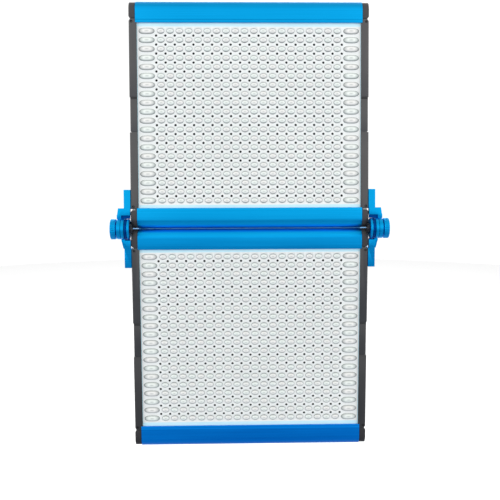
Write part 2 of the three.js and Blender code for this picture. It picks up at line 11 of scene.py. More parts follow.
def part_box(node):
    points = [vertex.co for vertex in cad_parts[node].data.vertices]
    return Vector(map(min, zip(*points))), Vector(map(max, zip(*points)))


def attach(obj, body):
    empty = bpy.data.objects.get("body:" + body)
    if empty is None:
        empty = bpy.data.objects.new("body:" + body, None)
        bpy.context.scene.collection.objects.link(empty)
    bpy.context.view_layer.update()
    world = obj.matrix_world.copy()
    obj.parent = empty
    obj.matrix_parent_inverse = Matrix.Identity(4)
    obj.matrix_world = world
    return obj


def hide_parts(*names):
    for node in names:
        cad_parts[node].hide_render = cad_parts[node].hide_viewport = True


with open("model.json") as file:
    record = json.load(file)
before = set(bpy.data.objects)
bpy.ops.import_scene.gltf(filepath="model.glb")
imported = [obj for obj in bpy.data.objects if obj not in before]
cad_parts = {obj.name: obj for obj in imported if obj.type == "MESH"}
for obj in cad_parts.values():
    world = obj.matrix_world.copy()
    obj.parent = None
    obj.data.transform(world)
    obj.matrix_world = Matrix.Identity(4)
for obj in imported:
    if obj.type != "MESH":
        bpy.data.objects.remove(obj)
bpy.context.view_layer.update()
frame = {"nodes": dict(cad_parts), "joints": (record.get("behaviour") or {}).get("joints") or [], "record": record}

MM = 0.001

# ---- Places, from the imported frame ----

fold = next(joint for joint in frame["joints"] if joint["name"] == "head_fold")
PIVOT = Vector(fold["pos_m"])
OVER_OPEN = math.radians(fold["range_deg"][1] - 180)

low_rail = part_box("lower_bottom_rail")
high_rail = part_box("lower_top_rail")
HEAD_FRONT = low_rail[0].y
HEAD_BOTTOM = low_rail[0].z
HEAD_HEIGHT = (high_rail[1].z - HEAD_BOTTOM) / MM
HEAD_DEPTH = (low_rail[1].y - HEAD_FRONT) / MM
OUTER_RAIL = (low_rail[1].z - low_rail[0].z) / MM
HINGE_RAIL = (high_rail[1].z - high_rail[0].z) / MM
RAILS = {
    "lower": {"bottom": OUTER_RAIL, "top": HINGE_RAIL},
    "upper": {"bottom": HINGE_RAIL, "top": OUTER_RAIL},
}
RAIL_END = low_rail[1].x / MM
EDGE_GAP = PIVOT.z - high_rail[1].z


def head_place(which):
    """The row-frame place of a head's own frame: x from its middle, y back from its front, z up."""
    if which == "lower":
        return Matrix.Translation((0, HEAD_FRONT, HEAD_BOTTOM))
    set_back = Matrix.Translation((0, HEAD_FRONT - PIVOT.y, EDGE_GAP))
    return pivot_place(which) @ set_back


def pivot_place(which):
    """The row-frame place of the pivot, turned with a head."""
    if which == "lower":
        return Matrix.Translation(PIVOT)
    return Matrix.Translation(PIVOT) @ Matrix.Rotation(-OVER_OPEN, 4, "X")


# ---- Mesh makers, in millimetres ----

TURNS = {
    "x": Matrix(((0, 0, 1, 0), (1, 0, 0, 0), (0, 1, 0, 0), (0, 0, 0, 1))),
    "y": Matrix(((1, 0, 0, 0), (0, 0, 1, 0), (0, 1, 0, 0), (0, 0, 0, 1))),
    "z": Matrix.Identity(4),
}


def bridged(bm, rings):
    """Joins each ring of vertices to the next one with quads."""
    for one, two in zip(rings, rings[1:]):
        for i in range(len(one)):
            j = (i + 1) % len(one)
            bm.faces.new((one[i], one[j], two[j], two[i]))


def outward(bm):
    """Turns every face to the outside."""
    bmesh.ops.recalc_face_normals(bm, faces=bm.faces)
    return bm


def mesh_from(bm, name="part"):
    """The finished mesh of one that was being made."""
    mesh = bpy.data.meshes.new(name)
    bm.to_mesh(mesh)
    bm.free()
    return mesh


def in_scene(name, data):
    """A new object in the scene, with its mesh, light or camera."""
    made = bpy.data.objects.new(name, data)
    bpy.context.scene.collection.objects.link(made)
    return made


def loft(axis, sections):
    """Joins (place along the axis, outline) sections of equal point counts. An outline is in the
    other two axes, in x y z order."""
    bm = bmesh.new()
    rings = [[bm.verts.new((u, v, w)) for u, v in outline] for w, outline in sections]
    bm.faces.new(rings[0])
    bm.faces.new(rings[-1])
    bridged(bm, rings)
    bmesh.ops.transform(bm, matrix=TURNS[axis], verts=bm.verts)
    return outward(bm)


def prism(axis, outline, low, high):
    """A flat outline pushed along an axis."""
    return loft(axis, [(low, outline), (high, outline)])


def block(x, y, z):
    """A box between two limits on each axis."""
    return prism("z", [(x[0], y[0]), (x[1], y[0]), (x[1], y[1]), (x[0], y[1])], *z)


def lathe(axis, profile, steps=64):
    """A profile of (radius, place along the axis) pairs, turned about an axis. A radius of 0 is a
    single point."""
    bm = bmesh.new()
    rings = []
    for radius, along in profile:
        angles = [2 * math.pi * i / steps for i in range(steps if radius else 1)]
        rings.append([bm.verts.new((radius * math.cos(a), radius * math.sin(a), along)) for a in angles])
    closed = len(rings[0]) > 1
    pairs = list(zip(rings, rings[1:] + rings[:1] if closed else rings[1:]))
    for one, two in pairs:
        for i in range(steps):
            j = (i + 1) % steps
            corners = [one[i % len(one)], one[j % len(one)], two[j % len(two)], two[i % len(two)]]
            corners = list(dict.fromkeys(corners))
            if len(corners) > 2:
                bm.faces.new(corners)
    bmesh.ops.transform(bm, matrix=TURNS[axis], verts=bm.verts)
    return outward(bm)


def moved(bm, x=0, y=0, z=0):
    bmesh.ops.translate(bm, vec=(x, y, z), verts=bm.verts)
    return bm


def softened(bm, width, segments=2, angle=35):
    """Rounds every edge that is sharper than the angle."""
    limit = math.radians(angle)
    sharp = [e for e in bm.edges if e.is_manifold and e.calc_face_angle(0) > limit]
    shape = {"profile": 0.5, "affect": "EDGES", "clamp_overlap": True}
    bmesh.ops.bevel(bm, geom=sharp, offset=width, segments=segments, **shape)
    return bm


def mirrored(bm):
    """The same piece on the -X side."""
    bmesh.ops.scale(bm, vec=(-1, 1, 1), verts=bm.verts)
    bmesh.ops.reverse_faces(bm, faces=bm.faces)
    return bm


def on_side(side, bm):
    """A piece made for the +X side, put on either side."""
    return mirrored(bm) if side == "left" else bm


def merged(*parts):
    """Several closed meshes as one."""
    whole = bmesh.new()
    for part in parts:
        mesh = mesh_from(part)
        whole.from_mesh(mesh)
        bpy.data.meshes.remove(mesh)
    return whole


def arc(centre, radius, start, end, steps):
    """Points on an arc, angles in degrees."""
    u, v = centre
    angles = [math.radians(start + (end - start) * i / steps) for i in range(steps + 1)]
    return [(u + radius * math.cos(a), v + radius * math.sin(a)) for a in angles]


def rounded_rect(half_width, low, high, radius, steps=8):
    """An outline with round corners, in x and z."""
    right = half_width - radius
    bottom = low + radius
    top = high - radius
    corners = [(right, bottom), (right, top), (-right, top), (-right, bottom)]
    points = []
    for quarter, centre in enumerate(corners):
        points += arc(centre, radius, 90 * quarter - 90, 90 * quarter, steps)
    return points


def lobed(radius, wave, lobes, steps):
    """A round outline whose radius waves in and out once for each lobe."""
    points = []
    for i in range(lobes * steps):
        angle = 2 * math.pi * i / (lobes * steps)
        reach = radius + wave * math.cos(lobes * angle)
        points.append((reach * math.cos(angle), reach * math.sin(angle)))
    return points


def fluted(axis, flutes, rows):
    """A lobed body, from (place along the axis, radius, wave) rows."""
    return loft(axis, [(place, lobed(radius, wave, *flutes)) for place, radius, wave in rows])


def cleaned(bm):
    """Joins double vertices and the flat faces beside each other."""
    bmesh.ops.remove_doubles(bm, verts=bm.verts, dist=1e-3)
    bmesh.ops.dissolve_limit(bm, angle_limit=math.radians(0.5), verts=bm.verts, edges=bm.edges)
    return bm


def combined(operation, base, tools):
    """Joins the tools to a closed mesh, or cuts them from it, one after another."""
    for tool in tools:
        objects = [in_scene("part", mesh_from(part)) for part in (base, tool)]
        modifier = objects[0].modifiers.new("shape", "BOOLEAN")
        modifier.operation = operation
        modifier.solver = "EXACT"
        modifier.object = objects[1]
        depsgraph = bpy.context.evaluated_depsgraph_get()
        result = bpy.data.meshes.new_from_object(objects[0].evaluated_get(depsgraph))
        base = bmesh.new()
        base.from_mesh(result)
        bpy.data.meshes.remove(result)
        for made in objects:
            mesh = made.data
            bpy.data.objects.remove(made)
            bpy.data.meshes.remove(mesh)
    return cleaned(base)


def fused(base, *tools):
    return combined("UNION", base, tools)


def carved(base, *tools):
    return combined("DIFFERENCE", base, tools)


def sliced(bm, point, normal):
    """Cuts off what lies beyond a plane."""
    plane = {"plane_co": point, "plane_no": normal, "clear_outer": True}
    bmesh.ops.bisect_plane(bm, geom=bm.verts[:] + bm.edges[:] + bm.faces[:], dist=1e-4, **plane)
    bmesh.ops.holes_fill(bm, edges=[e for e in bm.edges if e.is_boundary], sides=0)
    return outward(bm)


def rod(axis, radius, low, high, soft=0.0, steps=48):
    """A round bar, its end edges chamfered by the amount that is soft."""
    return lathe(axis, [
        (0, low), (radius - soft, low), (radius, low + soft + 0.001),
        (radius, high - soft - 0.001), (radius - soft, high), (0, high),
    ], steps)


def piece(name, bm, finish, body, place=None, stands_for=(), crease=32):
    """Puts a mesh made in millimetres into the row frame, and hangs it on a body."""
    matrix = (place or Matrix.Identity(4)) @ Matrix.Scale(MM, 4)
    bmesh.ops.transform(bm, matrix=matrix, verts=bm.verts)
    mesh = mesh_from(bm, name)
    mesh.polygons.foreach_set("use_smooth", [True] * len(mesh.polygons))
    mesh.set_sharp_from_angle(angle=math.radians(crease))
    mesh.materials.append(FINISHES[finish])
    made = in_scene(name, mesh)
    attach(made, body)
    if stands_for:
        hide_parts(*stands_for)
    return made


# ---- Finishes ----

FINISHES = {}
NOISE_MIDDLE = (0.3, 0.7)
BOARD_MIDDLE = (0.35, 0.65)
# Heights over which the blue gets painted shade, darker towards the light's bottom.
PAINTED_SHADE_Z = (-0.25, 0.1)
# Distances from the hinge's height within which the rails get painted light.
PAINTED_LIGHT_WITHIN = (0.011, 0.005)


class NodeTree:
    """The nodes of a material or of the world, and short ways to add to them."""

    def __init__(self, owner, mapping):
        owner.use_nodes = True
        self.nodes = owner.node_tree.nodes
        self.links = owner.node_tree.links
        self.coords = self.nodes.new("ShaderNodeTexCoord").outputs[mapping]

    def added(self, kind, constants, linked):
        """A new node, with some inputs set and some linked."""
        node = self.nodes.new(kind)
        for socket, value in constants.items():
            node.inputs[socket].default_value = value
        for socket, source in linked.items():
            self.links.new(source, node.inputs[socket])
        return node

    def along(self, axis):
        """The place along one axis."""
        return self.added("ShaderNodeSeparateXYZ", {}, {"Vector": self.coords}).outputs[axis]

    def mapped(self, source, start, end, low=0.0, high=1.0):
        """Maps the values from start to end to the ones from low to high."""
        limits = {"From Min": start, "From Max": end, "To Min": low, "To Max": high}
        return self.added("ShaderNodeMapRange", limits, {"Value": source}).outputs["Result"]

    def computed(self, operation, *values):
        """A sum or the like of values and node outputs."""
        node = self.nodes.new("ShaderNodeMath")
        node.operation = operation
        for socket, value in zip(node.inputs, values):
            if isinstance(value, float):
                socket.default_value = value
            else:
                self.links.new(value, socket)
        return node.outputs["Value"]

    def seen(self):
        """1 for what the camera sees itself, 0 for what is mirrored or lit."""
        return self.nodes.new("ShaderNodeLightPath").outputs["Is Camera Ray"]

    def ramp(self, source, stops):
        """Maps a value to colours, from (place, colour) pairs."""
        node = self.added("ShaderNodeValToRGB", {}, {"Fac": source})
        elements = node.color_ramp.elements
        for element, (place, colour) in zip(elements, (stops[0], stops[-1])):
            element.position = place
            element.color = (*colour, 1)
        for place, colour in stops[1:-1]:
            elements.new(place).color = (*colour, 1)
        return node.outputs["Color"]

    def shades(self, source, dark, light, places=NOISE_MIDDLE):
        """Maps a value to the colours between two."""
        return self.ramp(source, list(zip(places, (dark, light))))


class Finish(NodeTree):
    """A material with one Principled shader, mapped in the row frame."""

    def __init__(self, name, slot=None, **sockets):
        material = bpy.data.materials.new(name)
        super().__init__(material, "Object")
        self.shader = self.nodes["Principled BSDF"]
        for socket, value in sockets.items():
            self.shader.inputs[socket.replace("_", " ")].default_value = value
        FINISHES[name] = material

    def into(self, socket, source):
        self.links.new(source, self.shader.inputs[socket])

    def noise(self, scale, detail=3, stretch=(1, 1, 1), roughness=0.5):
        place = self.added("ShaderNodeMapping", {"Scale": stretch}, {"Vector": self.coords})
        settings = {"Scale": scale, "Detail": detail, "Roughness": roughness}
        texture = self.added("ShaderNodeTexNoise", settings, {"Vector": place.outputs["Vector"]})
        return texture.outputs["Fac"]

    def coloured(self, texture, dark, light, places=NOISE_MIDDLE):
        self.into("Base Color", self.shades(texture, dark, light, places))

    def roughened(self, texture, low, high):
        self.into("Roughness", self.mapped(texture, *NOISE_MIDDLE, low, high))

    def bumped(self, texture, strength, distance):
        settings = {"Strength": strength, "Distance": distance}
        bump = self.added("ShaderNodeBump", settings, {"Height": texture})
        self.into("Normal", bump.outputs["Normal"])

    def mixed(self, factor, one, two, mode="MIX"):
        """Blends two colours by a value, or fully if there is none."""
        blend = self.nodes.new("ShaderNodeMix")
        blend.data_type = "RGBA"
        blend.blend_type = mode
        first, second = (next(s for s in blend.inputs if s.identifier == f"{k}_Color") for k in "AB")
        blend.inputs["Factor"].default_value = 1.0
        if factor:
            self.links.new(factor, blend.inputs["Factor"])
        self.links.new(one, first)
        self.links.new(two, second)
        return next(s for s in blend.outputs if s.identifier == "Result_Color")

    def shade_by_height(self, low, high):
        """A value that goes from low near the light's bottom to high above its hinge, for painted shade."""
        return self.mapped(self.along("Z"), *PAINTED_SHADE_Z, low, high)

    def near_hinge(self):
        """A value that goes from 0 to 1 within a few millimetres of the hinge's height, where the rails get
        painted light.
        """
        apart = self.computed("SUBTRACT", self.along("Z"), PIVOT.z)
        return self.mapped(self.computed("ABSOLUTE", apart), *PAINTED_LIGHT_WITHIN)


def make_blue(name, painted_light_edges):
    """Blue anodising with fine draw lines and painted shade that makes it deeper towards the light's bottom.
    The rails are painted lighter along the hinge: painted light in the shaded gap between the heads."""
    blue = Finish(name, slot="anodised_blue", Metallic=1.0)
    streak = blue.noise(60, detail=4, stretch=(0.12, 12, 12))
    cloud = blue.noise(9, detail=2)
    tone = blue.added("ShaderNodeMix", {"Factor": 0.35}, {"A": streak, "B": cloud}).outputs["Result"]
    # Painted shade: the deep blue low down, the lighter blue higher up.
    deep = blue.shades(tone, (0.001, 0.20, 0.74), (0.002, 0.26, 0.84))
    light = blue.shades(tone, (0.002, 0.34, 0.74), (0.004, 0.41, 0.84))
    colour = blue.mixed(blue.shade_by_height(0.0, 1.1), deep, light)
    if painted_light_edges:
        # Painted light: a paler blue on the rails near the hinge, where the gap between the heads is in shade.
        pale = blue.shades(tone, (0.003, 0.43, 0.92), (0.006, 0.49, 0.96))
        colour = blue.mixed(blue.near_hinge(), colour, pale)
    blue.into("Base Color", colour)
    blue.roughened(streak, 0.3, 0.42)
    blue.bumped(streak, 0.12, 0.00004)


def make_finish(name, cloud, shades, grain=None, rough=None, bump=None, places=NOISE_MIDDLE, **sockets):
    """A finish whose colour drifts between two shades with a noise. The same noise, or a finer
    one, can vary how rough and how even it is."""
    finish = Finish(name, **sockets)
    drift = finish.noise(*cloud)
    finish.coloured(drift, *shades, places)
    fine = finish.noise(*grain) if grain else drift
    if rough:
        finish.roughened(fine, *rough)
    if bump:
        finish.bumped(fine, *bump)
    return finish


def make_lens_plastic():
    """Clear domes over the LEDs, with painted shade dark at the rim and at each lens's top and bottom, and a
    painted highlight halfway in.
    """
    lens = Finish("lens_plastic", Roughness=0.12, IOR=1.49, Coat_Weight=0.4, Coat_Roughness=0.05)
    marks = lens.nodes.new("ShaderNodeVertexColor")
    marks.layer_name = "lens"
    parts = lens.added("ShaderNodeSeparateColor", {}, {"Color": marks.outputs["Color"]}).outputs
    # Painted highlight halfway in on each lens's sides, painted shade at its rim.
    sides = lens.ramp(parts["Red"], [
        (0.0, (0.46, 0.49, 0.48)), (0.10, (0.66, 0.69, 0.68)), (0.26, (0.92, 0.94, 0.93)),
        (0.62, (0.80, 0.83, 0.81)), (1.0, (0.60, 0.63, 0.60)),
    ])
    # Painted shade, darker, at each lens's top and bottom and all round the long side lenses.
    ends = lens.ramp(parts["Red"], [
        (0.0, (0.22, 0.25, 0.24)), (0.12, (0.42, 0.45, 0.44)), (0.3, (0.68, 0.71, 0.69)),
        (0.6, (0.93, 0.95, 0.92)), (1.0, (0.66, 0.69, 0.65)),
    ])
    painted_lens_shading = lens.mixed(parts["Blue"], sides, ends)
    tint = lens.shades(parts["Green"], (0.97, 1.0, 0.97), (1.0, 0.965, 0.95), (0.0, 1.0))
    lens.into("Base Color", lens.mixed(None, painted_lens_shading, tint, "MULTIPLY"))


def make_finishes():
    make_blue("anodised_blue", False)
    make_blue("rail_blue", True)
    # A dark navy used as painted shadow on the hinge spacers and on the strips under the hinge shelves.
    make_finish("painted_shadow_navy", (300,), ((0.001, 0.05, 0.26), (0.002, 0.08, 0.34)),
                rough=(0.36, 0.5), slot="anodised_blue", Metallic=1.0)
    make_finish("bare_aluminium", (80, 4, (12, 12, 0.2)), ((0.58, 0.59, 0.61), (0.72, 0.73, 0.74)),
                rough=(0.3, 0.46), Metallic=1.0)
    make_finish("black_oxide", (500,), ((0.018, 0.018, 0.021), (0.04, 0.04, 0.045)),
                rough=(0.28, 0.44), Metallic=0.6)
    make_finish("zinc_steel", (700,), ((0.6, 0.6, 0.6), (0.74, 0.74, 0.73)),
                rough=(0.2, 0.36), Metallic=1.0)
    black = make_finish("moulded_black", (35,), ((0.022, 0.022, 0.024), (0.036, 0.035, 0.037)),
                        grain=(2600, 2), rough=(0.36, 0.5), bump=(0.25, 0.00008))
    # Painted shade: the reflection is made weaker towards the light's bottom.
    black.into("Specular IOR Level", black.shade_by_height(0.2, 0.6))
    cover = make_finish("cover_black", (30,), ((0.024, 0.024, 0.025), (0.034, 0.033, 0.034)),
                        grain=(2200, 2), rough=(0.28, 0.42), bump=(0.25, 0.00008), slot="moulded_black")
    # Painted shade: the covers' reflection is made weaker towards the light's bottom.
    cover.into("Specular IOR Level", cover.shade_by_height(0.35, 1.05))
    make_finish("powder_black", (20, 4), ((0.016, 0.016, 0.018), (0.03, 0.03, 0.032)),
                grain=(1500, 3, (1, 1, 1), 0.6), rough=(0.42, 0.6), bump=(0.5, 0.00012))
    make_finish("knob_black", (60,), ((0.014, 0.014, 0.015), (0.026, 0.026, 0.027)),
                grain=(1900, 2), rough=(0.42, 0.62), bump=(0.3, 0.00008))
    make_finish("plate_white", (14,), ((0.86, 0.885, 0.86), (0.90, 0.92, 0.895)),
                grain=(900, 2), bump=(0.1, 0.00005), slot="lens_plastic", Roughness=0.35)
    make_finish("plate_rim", (30,), ((0.56, 0.86, 0.95), (0.64, 0.91, 0.98)),
                slot="lens_plastic", Roughness=0.4)
    # Painted light: a pale blue for the strip that stands for light in the gap between the heads.
    make_finish("gap_painted_light", (90,), ((0.16, 0.62, 0.92), (0.20, 0.68, 0.98)),
                slot="anodised_blue", Roughness=0.5)
    make_finish("led_board", (120,), ((0.006, 0.007, 0.007), (0.014, 0.015, 0.014)),
                places=BOARD_MIDDLE, Roughness=0.5)
    make_finish("driver_board", (160, 4), ((0.01, 0.09, 0.035), (0.02, 0.15, 0.06)),
                places=BOARD_MIDDLE, Roughness=0.4)
    make_finish("display_glass", (40, 2), ((0.004, 0.007, 0.009), (0.008, 0.012, 0.014)),
                Roughness=0.06, IOR=1.5, Coat_Weight=0.6)
    make_finish("print_grey", (400, 2), ((0.5, 0.5, 0.5), (0.6, 0.6, 0.6)),
                slot="moulded_black", Roughness=0.6)
    make_lens_plastic()


make_finishes()

# ---- The lens field ----

COLUMNS = 24
ROWS = 20
CELL_X = 12.4
CELL_Z = 11.85
FIELD_FROM_HINGE = 149.6
PLATE_FRONT = 2.3
PLATE_BACK = 3.8
VENT_RADIUS = 1.65
MOAT_OUTER = 5.3
MOAT_INNER = 5.0
MOAT_DEPTH = 0.6
LENS_RADIUS = 4.8
LENS_SQUASH = 0.75
LENS_HEIGHT = 1.8
LONG_LENS = (10.6, 4.1)
LENS_STEPS = 24
LENS_RINGS = (0, 14, 30, 48, 68)
CORNER_STEPS = 4
SIDE_STEPS = 4


def cell_boundary(has_vent):
    """One cell's outline, counterclockwise from the right side's lower end. Each of its four
    corners, in quadrant order, is cut by a quarter of a vent hole or left square."""
    half = (CELL_X / 2, CELL_Z / 2)
    points = []
    for quadrant, cut in enumerate(has_vent):
        sx = 1 if quadrant in (0, 3) else -1
        sz = 1 if quadrant in (0, 1) else -1
        corner = []
        for i in range(CORNER_STEPS + 1):
            t = i / CORNER_STEPS
            if cut:
                angle = math.pi / 2 * t
                dx = VENT_RADIUS * math.sin(angle)
                dz = VENT_RADIUS * math.cos(angle)
            else:
                dx = VENT_RADIUS * max(0.0, 2 * t - 1)
                dz = VENT_RADIUS * max(0.0, 1 - 2 * t)
            corner.append((sx * (half[0] - dx), sz * (half[1] - dz)))
        if quadrant in (1, 3):
            corner.reverse()
        points.append(corner)
    outline = []
    for corner, following in zip(points, points[1:] + points[:1]):
        outline += corner
        (x, z), (next_x, next_z) = corner[-1], following[0]
        for i in range(1, SIDE_STEPS):
            t = i / SIDE_STEPS
            outline.append((x + (next_x - x) * t, z + (next_z - z) * t))
    return outline


def plate_span(which):
    """The lowest and highest place of a lens plate in its head's frame."""
    low, high = ((corner.z - HEAD_BOTTOM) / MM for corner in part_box("lower_lens_plate"))
    return (low, high) if which == "lower" else (HEAD_HEIGHT - high, HEAD_HEIGHT - low)


def field_middle(which):
    """The height of the lens field's middle in a head's frame."""
    return HEAD_HEIGHT - FIELD_FROM_HINGE if which == "lower" else FIELD_FROM_HINGE


def at_side(column):
    """True in the two outermost columns of each side, where two cells share one long lens."""
    return column < 2 or column > COLUMNS - 3


def cell_centres(which):
    """(column, row, x, z) of each lens, in a head's frame."""
    middle = field_middle(which)
    for column in range(COLUMNS):
        for row in range(ROWS):
            x = (column - (COLUMNS - 1) / 2) * CELL_X
            z = middle + (row - (ROWS - 1) / 2) * CELL_Z
            yield column, row, x, z


def vent_at(column, row):
    """True if a vent hole is at this corner of the cell grid, counted from 0."""
    return 2 <= column <= COLUMNS - 2 and 1 <= row <= ROWS - 1


def lens_plate_mesh(which):
    """The plate under the lenses: a moat round each oval lens and a vent hole at most corners."""
    bm = bmesh.new()
    for column, row, x, z in cell_centres(which):
        vents = [vent_at(column + u, row + v) for u, v in ((1, 1), (0, 1), (0, 0), (1, 0))]
        outline = cell_boundary(vents)
        angles = [math.atan2(v, u) for u, v in outline]

        def ring(radius, depth):
            rise = radius * LENS_SQUASH
            return [
                bm.verts.new((x + radius * math.cos(a), PLATE_FRONT + depth, z + rise * math.sin(a)))
                for a in angles
            ]

        back = [bm.verts.new((x + u, PLATE_BACK, z + v)) for u, v in outline]
        front = [bm.verts.new((x + u, PLATE_FRONT, z + v)) for u, v in outline]
        loops = [front]
        if not at_side(column):
            loops += [ring(MOAT_OUTER, 0), ring(MOAT_OUTER - 0.2, 0.12), ring(MOAT_INNER, MOAT_DEPTH)]
        bridged(bm, loops)
        bm.faces.new(loops[-1])
        bm.faces.new(list(reversed(back)))
        for quadrant in (quadrant for quadrant, cut in enumerate(vents) if cut):
            start = quadrant * (CORNER_STEPS + SIDE_STEPS)
            for i in range(start, start + CORNER_STEPS):
                bm.faces.new((front[i + 1], front[i], back[i], back[i + 1]))
    bmesh.ops.remove_doubles(bm, verts=bm.verts, dist=1e-4)
    return outward(bm)


def lens_margin_mesh(which):
    """The plain border of the plate, out under the rails and covers."""
    outer_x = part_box("lower_lens_plate")[1].x / MM
    outer_z = plate_span(which)
    inner_x = COLUMNS * CELL_X / 2
    half_rows = ROWS * CELL_Z / 2
    inner_z = (field_middle(which) - half_rows, field_middle(which) + half_rows)
    depth = (PLATE_FRONT, PLATE_BACK)
    return merged(
        block((-outer_x, outer_x), depth, (outer_z[0], inner_z[0])),
        block((-outer_x, outer_x), depth, (inner_z[1], outer_z[1])),
        block((-outer_x, -inner_x), depth, inner_z),
        block((inner_x, outer_x), depth, inner_z),
    )


def lens_outline(long, share, angle):
    """A point of a lens's outline, drawn in to a share of its size. The long lens's ends are blunt."""
    if long:
        reach = math.copysign(abs(math.cos(angle)) ** 0.6, math.cos(angle))
        return LONG_LENS[0] * share * reach, LONG_LENS[1] * share * math.sin(angle)
    radius = LENS_RADIUS * share
    return radius * math.cos(angle), radius * LENS_SQUASH * math.sin(angle)


def lenses_mesh(which, seed):
    """All the domed lenses of one head. Their colour layer holds how near the middle a point is
    in red, the LED's colour temperature in green, and in blue how near the point is to the top
    or the bottom of its lens."""
    rng = random.Random(seed)
    bm = bmesh.new()
    layer = bm.verts.layers.float_color.new("lens")
    for column, row, x, z in cell_centres(which):
        warm = (column + row) % 2 * 0.8 + 0.2 * rng.random()
        long = at_side(column)
        if long and column % 2:
            continue
        middle = x + CELL_X / 2 if long else x

        def ring(y, share):
            made = []
            for i in range(LENS_STEPS):
                angle = 2 * math.pi * i / LENS_STEPS
                dx, dz = lens_outline(long, share, angle)
                vertex = bm.verts.new((middle + dx, y, z + dz))
                # Red and blue place the painted shade at the rim and lens ends and the painted highlight halfway
                # in; the long side lenses are painted shaded all round.
                vertex[layer] = (1 - share, warm, 1 if long else math.sin(angle) ** 2, 1)
                made.append(vertex)
            return made

        rings = [ring(PLATE_FRONT + MOAT_DEPTH, 1)]
        for degrees in LENS_RINGS:
            t = math.radians(degrees)
            rings.append(ring(PLATE_FRONT - LENS_HEIGHT * math.sin(t), math.cos(t)))
        tip = bm.verts.new((middle, PLATE_FRONT - LENS_HEIGHT, z))
        tip[layer] = (1, warm, 0, 1)
        bridged(bm, rings)
        for i in range(LENS_STEPS):
            bm.faces.new((rings[-1][i], rings[-1][(i + 1) % LENS_STEPS], tip))
        bm.faces.new(list(reversed(rings[0])))
    return outward(bm)


def add_lens_field(which, seed):
    body = which + "_head"
    place = head_place(which)
    plate = which + "_lens_plate"
    piece(which + "_plate_cells", lens_plate_mesh(which), "plate_white", body, place, [plate], crease=50)
    piece(which + "_plate_border", lens_margin_mesh(which), "plate_rim", body, place, [plate])
    piece(which + "_lenses", lenses_mesh(which, seed), "lens_plastic", body, place, [plate], crease=60)


# ---- A head's frame ----

RAIL_RADIUS = 12
RAIL_WALL = 2
RAIL_LIP = 4
LIP_STEP = 0.3
# The size of the pale strip in the gap between the heads, which is painted light.
GAP_STRIP_HALF_WIDTH = 0.45
GAP_STRIP_Z = (-0.45, 1.25)
CORNER_CUT = 2.6
CAP_INSET = {"outer": 0.9, "hinge": 0.25}
CAP_SCREW = 3.0
COVER_INNER = 149.5
COVER_OUTER = 160
COVER_WALL = 2
COVER_CHAMFER = 1.2
COVER_END = 25
GRIP_RECESS = 0.8
GRIP_GROOVE = 1.8
GRIP_LENGTH = 47
PART_GAP = 0.3
MIDDLE = HEAD_HEIGHT / 2
COVER_SCREW_X = 156.4
COVER_SCREW_Z = (COVER_END + 3.8, HEAD_HEIGHT - COVER_END - 3.8)
SCREW_HOLE = 1.75
SCREW_SINK = 1.8


def screw(axis, radius, place, facing=1):
    """A socket screw whose head stands a little proud of the surface at its place."""
    profile = [
        (0, -0.8), (radius, -0.8), (radius, 0.1), (radius - 0.35, 0.35),
        (radius * 0.55, 0.35), (radius * 0.5, -0.4), (0, -0.4),
    ]
    bm = lathe(axis, [(r, facing * along) for r, along in profile], steps=24)
    return moved(bm, *place)


def edge_arcs(depth, step):
    """The rounded outer edge of a head, from the front round to the back, in y and z."""
    centre = RAIL_RADIUS
    return (
        arc((centre, centre), RAIL_RADIUS, 180, 270, step)
        + arc((depth - centre, centre), RAIL_RADIUS, 270, 360, step)
    )


def at_edge(edge, bm):
    """A piece made for the head's bottom edge, turned over if it belongs to the top one."""
    if edge == "bottom":
        return bm
    bmesh.ops.scale(bm, vec=(1, -1, -1), verts=bm.verts)
    return moved(bm, y=HEAD_DEPTH, z=HEAD_HEIGHT)


def rail_mesh(height):
    """A hollow extrusion with a stepped lip along its front and its back, and a drawn groove."""
    lip = height - RAIL_LIP
    back = HEAD_DEPTH
    front_half = [(LIP_STEP, height), (LIP_STEP, lip + 0.5), (0, lip)]
    back_half = [(back - y, z) for y, z in reversed(front_half)]
    arcs = edge_arcs(back, 16)
    half = len(arcs) // 2
    groove = [(back / 2 + y, z) for y, z in ((-0.8, 0), (-0.5, 0.5), (0.5, 0.5), (0.8, 0))]
    inside = back - RAIL_WALL
    inner = [(inside, height), (inside, lip), (RAIL_WALL, lip), (RAIL_WALL, height)]
    outline = front_half + arcs[:half] + groove + arcs[half:] + back_half + inner
    return softened(prism("x", outline, -RAIL_END, RAIL_END), 0.18, 2, 25)


def cap_mesh(inset):
    """The block on a rail's end, a little inside it. Its corner towards the cover is cut off."""
    low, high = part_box("lower_bottom_right_cap")
    height = (high.z - low.z) / MM
    outer = high.x / MM - CAP_INSET["outer"] / 3
    edge = [(y, z + inset) for y, z in edge_arcs(HEAD_DEPTH, 16)]
    outline = [(0, height)] + edge + [(HEAD_DEPTH, height)]
    bm = prism("x", outline, RAIL_END + PART_GAP, outer)
    sliced(bm, (outer, 0, height - CORNER_CUT), (1, 0, 1))
    softened(bm, 0.7, 3, 30)
    return merged(bm, screw("x", CAP_SCREW, (outer, HEAD_DEPTH / 2, height / 2)))


def cover_section(inner, inset=0):
    """The channel of a side cover, in x and y, its front and its outer face set in."""
    back = HEAD_DEPTH
    outer = COVER_OUTER - inset
    cut, wall = COVER_CHAMFER, COVER_WALL
    front = inset / 2
    return [
        (inner, front), (outer - cut, front), (outer, cut + front),
        (outer, back - cut), (outer - cut, back), (inner, back),
        (inner, back - wall), (outer - wall, back - wall), (outer - wall, wall), (inner, wall),
    ]


